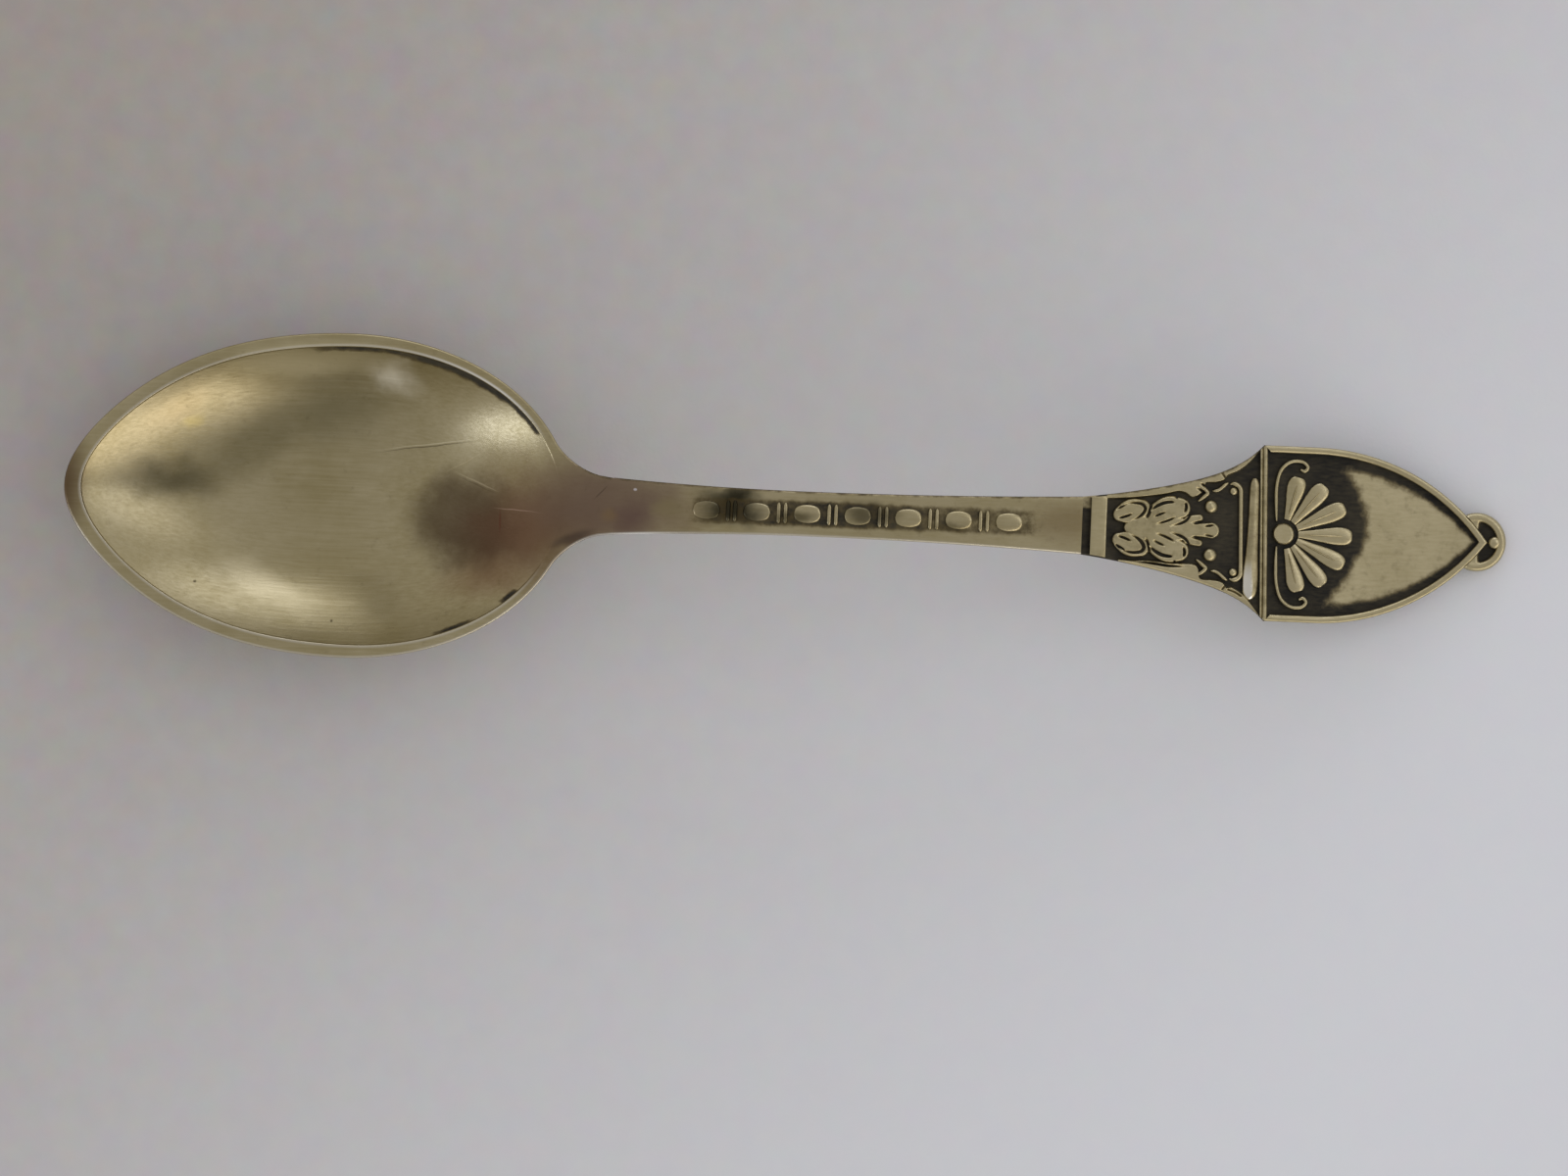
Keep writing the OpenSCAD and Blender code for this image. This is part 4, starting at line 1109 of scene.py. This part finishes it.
# %% shield ground
ARC_S, SHIELD_SINK, SHIELD_SOFT, BORDER = 99.7, 0.45, 0.1, 0.6
SHIELD_TIP_S, PALMETTE_S = 113.5, 97.05
SHIELD_RINGS, NEAR_TIP = 72, 0.998
FAN_SQUASH, FAN_SKEW, FAN_SIDE, FAN_EDGE = 0.92, 0.8, (1.0, -3.0), (5.9, 7.4)
FIELD_EDGE, FIELD_RUB = (0.85, 1.9), 0.95
ARC_RADIUS = ((SHIELD_TIP_S - ARC_S)**2 + SHIELD_HALF**2) / (2 * SHIELD_HALF)


def shield_side(s, inset):
    if s < ARC_S:
        return SHIELD_HALF - inset
    reach = (ARC_RADIUS - inset)**2 - (s - ARC_S)**2
    return math.sqrt(max(0.0, reach)) - (ARC_RADIUS - SHIELD_HALF)


def field_grime(s, y):
    # Worn bright away from the border and from the fan; below the axis the wear reaches further in
    edge = shield_side(s, 0.0) - abs(y)
    round_fan = math.hypot(s - PALMETTE_S, y * FAN_SQUASH) + FAN_SKEW * smooth(*FAN_SIDE, y)
    open_field = smooth(*FIELD_EDGE, edge) * smooth(*FAN_EDGE, round_fan)
    return 1 - FIELD_RUB * open_field


stations = [lerp(SHIELD_S, SHIELD_TIP_S, math.sin(math.pi / 2 * i / SHIELD_RINGS) * NEAR_TIP)
            for i in range(SHIELD_RINGS + 1)]
rings = [handle_ring(s, shield_side(s, 0.0), SHIELD_SINK, SHIELD_SOFT, field_grime) for s in stations]
finish_piece(loft(rings), "shield_ground", "shield_plate", ground_silver)

# %% [markdown]
# ## Border
# A raised band follows the shield's outline. Its section is drawn once as shares of the border's
# width with a height for each, and a ring of that section is set at each point of the outline. The
# base is broader, with a line engraved along it.

# %% section of the border
SECTION = [(0.0, -0.6), (0.0, -0.2), (0.06, -0.08), (0.2, -0.01), (0.4, 0.0), (0.65, -0.02), (0.85, -0.1),
           (1.0, -0.3), (1.05, -0.5), (0.5, -0.55)]
STRAIGHT_STEPS, SIDE_STEPS = 8, 46
MITRE_GAP, SECTION_OXIDE = 0.02, (-0.35, -0.1)


def arc_point(inset, t):
    r = ARC_RADIUS - inset
    a = math.acos((ARC_RADIUS - SHIELD_HALF) / r) * t
    return Vector((ARC_S + r * math.sin(a), r * math.cos(a) - (ARC_RADIUS - SHIELD_HALF)))


def border_half():
    # Pairs of outer and inner points: the mitred corner, the straight side, then the arc to the point
    pairs = [(Vector((SHIELD_S + MITRE_GAP, SHIELD_HALF)),
              Vector((SHIELD_S + BORDER, SHIELD_HALF - BORDER)))]
    for i in range(1, STRAIGHT_STEPS):
        s = lerp(SHIELD_S + BORDER, ARC_S, i / STRAIGHT_STEPS)
        pairs.append((Vector((s, SHIELD_HALF)), Vector((s, SHIELD_HALF - BORDER))))
    for i in range(SIDE_STEPS + 1):
        t = i / SIDE_STEPS * NEAR_TIP
        pairs.append((arc_point(0.0, t), arc_point(BORDER, t)))
    return pairs


def section_ring(outer, inner):
    # Only the inner flank keeps its oxide
    ring = []
    for share, h in SECTION:
        p = outer.lerp(inner, share)
        ring.append((p.x, p.y, h, 1 - smooth(*SECTION_OXIDE, h) if share > 0.5 else 0.0))
    return ring


print("the border is", BORDER, "mm wide")

# %% base bar and border
# Height along the handle, with a line engraved between two rounded ridges
BASE_PROFILE = [(95.13, -0.55), (95.14, -0.3), (95.18, -0.14), (95.26, -0.08), (95.34, -0.1),
                (95.39, -0.2), (95.44, -0.06), (95.52, 0.0), (95.62, 0.0), (95.72, -0.06), (95.78, -0.2),
                (95.8, -0.55)]
BASE_ACROSS, BASE_INSET, BASE_BURIED = 60, 0.06, 0.12
BASE_FILM, BASE_OXIDE = 0.14, (-0.4, -0.1)


def base_bar(shape):
    grime_and_painted_light = shape.verts.layers.float["grime_and_painted_light"]
    bar = bmesh.ops.create_grid(shape, x_segments=len(BASE_PROFILE) - 1, y_segments=BASE_ACROSS, size=0.5)
    faces = list({f for v in bar["verts"] for f in v.link_faces})
    for v in bar["verts"]:
        s, h = BASE_PROFILE[round((v.co.x + 0.5) * (len(BASE_PROFILE) - 1))]
        half = panel_half(min(s, SHIELD_S)) - BASE_INSET
        v[grime_and_painted_light] = max(BASE_FILM, 1 - smooth(*BASE_OXIDE, h))
        v.co = (s, 2 * v.co.y * half, h)
    skirt(shape, faces, -SHIELD_SINK - BASE_BURIED)


half_border = border_half()
other_half = [(Vector((a.x, -a.y)), Vector((b.x, -b.y))) for a, b in reversed(half_border)]
shape = loft([section_ring(a, b) for a, b in half_border + other_half])
base_bar(shape)
finish_piece(shape, "shield_border_band", "shield_border", relief_silver)

# %% [markdown]
# ## Palmette
# A fan of seven petals rises from a boss at the base of the shield, with a scroll on each side: an old
# and common ornament of struck silver. Each petal is a broad stroke with a thin rib on it.

# %% palmette
BOSS, PETAL_START, PETAL_REACH = 0.9, 1.1, 5.6
PETAL_SPREAD, PETAL_STEP, OUTER_REACH = 75, 25, 0.8
PETAL_WIDTH, PETAL_HEIGHT = 1.5, 0.32
RIB_WIDTH, RIB_HEIGHT, RIB_SHARES, RIB_FLANK = 0.22, 0.4, (0.12, 0.5, 0.86), (0.4, 0.8)
SCROLL_WIDTH, SCROLL_HEIGHT, SCROLL_SHARES = 0.34, 0.36, [0.5] + [1.0] * 7 + [0.6]
RELIEF_TOP = -0.02
PETAL = [0.35, 0.45, 0.58, 0.74, 0.9, 1.0, 0.92, 0.5]
SCROLL = [(96.5, 0.9), (96.45, 2.4), (96.5, 3.9), (96.85, 5.1), (97.6, 5.75), (98.5, 5.8), (98.95, 5.4),
          (98.7, 5.05), (98.35, 5.2)]

shape = bmesh.new()
for degrees in range(-PETAL_SPREAD, PETAL_SPREAD + 1, PETAL_STEP):
    turn = math.radians(degrees)
    reach = PETAL_REACH * lerp(OUTER_REACH, 1.0, math.cos(turn))
    path = [(PALMETTE_S + r * math.cos(turn), r * math.sin(turn))
            for r in (PETAL_START, lerp(PETAL_START, reach, 0.5), reach)]
    stroke(shape, path, PETAL_WIDTH, PETAL_HEIGHT, SHIELD_SINK, PETAL, across=20)
    rib = [Vector(path[0]).lerp(Vector(path[-1]), t) for t in RIB_SHARES]
    stroke(shape, rib, RIB_WIDTH, RIB_HEIGHT, SHIELD_SINK, FINGER, flank=RIB_FLANK)
for flip in (list, mirrored):
    stroke(shape, flip(SCROLL), SCROLL_WIDTH, SCROLL_HEIGHT, SHIELD_SINK, SCROLL_SHARES, steps=60)
pearl(shape, PALMETTE_S, 0.0, BOSS, SHIELD_SINK)
for v in shape.verts:
    v.co.z = min(v.co.z, RELIEF_TOP)
finish_piece(shape, "palmette_fan", "palmette", relief_silver)

# %% [markdown]
# ## Finial
# A small round lobe wraps the shield's point. Its rim is a raised C, its ground is sunk and black, and
# one bright bead sits in the middle, between the two dark lobes.

# %% finial
FINIAL_S, FINIAL_RADIUS, FINIAL_RIM = 112.65, 2.34, 0.72
FINIAL_SWEEP, FINIAL_STEPS, LOBE_END, LOBE_SHALLOW, LEAST_WIDTH = 115.0, 72, (76.0, 92.0), -0.12, 0.05
GROUND_R, CROWN_R = FINIAL_RADIUS - FINIAL_RIM, FINIAL_RADIUS - FINIAL_RIM / 2
FINIAL_BACK, FINIAL_SIDE = -1.3, -1.1
# Radius, height and oxide, from the middle of the back over the ground and the rim to the back again
FINIAL_SECTION = [
    (0.0, FINIAL_BACK, 0.0), (0.0, -SHIELD_SINK, 1.0),
    (GROUND_R * 0.5, -SHIELD_SINK, 1.0), (GROUND_R - 0.1, -SHIELD_SINK, 1.0),
    (GROUND_R - 0.02, -0.3, 0.8), (GROUND_R + 0.08, -0.1, 0.05), (GROUND_R + 0.2, -0.02, 0.0),
    (CROWN_R, 0.0, 0.0), (FINIAL_RADIUS - 0.2, -0.04, 0.0), (FINIAL_RADIUS - 0.06, -0.16, 0.0),
    (FINIAL_RADIUS, -0.4, 0.0), (FINIAL_RADIUS, FINIAL_SIDE, 0.0),
    (FINIAL_RADIUS - 0.15, FINIAL_BACK, 0.0),
]


def lobe_depth(a):
    # 1 in the two sunk lobes, 0 at both ends of the rim
    return 1 - smooth(*LOBE_END, abs(math.degrees(a)))


def point_edge(a):
    # Distance from the finial's middle to the shield's outline, in direction a
    ray = Vector((math.cos(a), abs(math.sin(a))))
    offset = Vector((FINIAL_S - ARC_S, ARC_RADIUS - SHIELD_HALF))
    return math.sqrt(ray.dot(offset)**2 - offset.dot(offset) + ARC_RADIUS**2) - ray.dot(offset)


rings = []
for i in range(FINIAL_STEPS + 1):
    a = math.radians(lerp(-FINIAL_SWEEP, FINIAL_SWEEP, i / FINIAL_STEPS))
    inner = min(point_edge(a), FINIAL_RADIUS * (1 - LEAST_WIDTH))
    sunk = lobe_depth(a)
    rings.append([(FINIAL_S + max(inner, r) * math.cos(a), max(inner, r) * math.sin(a),
                   h if dirt == 0 else lerp(max(h, LOBE_SHALLOW), h, sunk), dirt * sunk)
                  for r, h, dirt in FINIAL_SECTION])
finish_piece(loft(rings), "finial_lobe", "finial_loop", relief_silver)

# %% bead
BEAD_RADIUS, BEAD_S = 0.56, 114.1
shape = bmesh.new()
pearl(shape, BEAD_S, 0.0, BEAD_RADIUS, SHIELD_SINK)
finish_piece(shape, "finial_bead_round", "finial_bead", relief_silver)
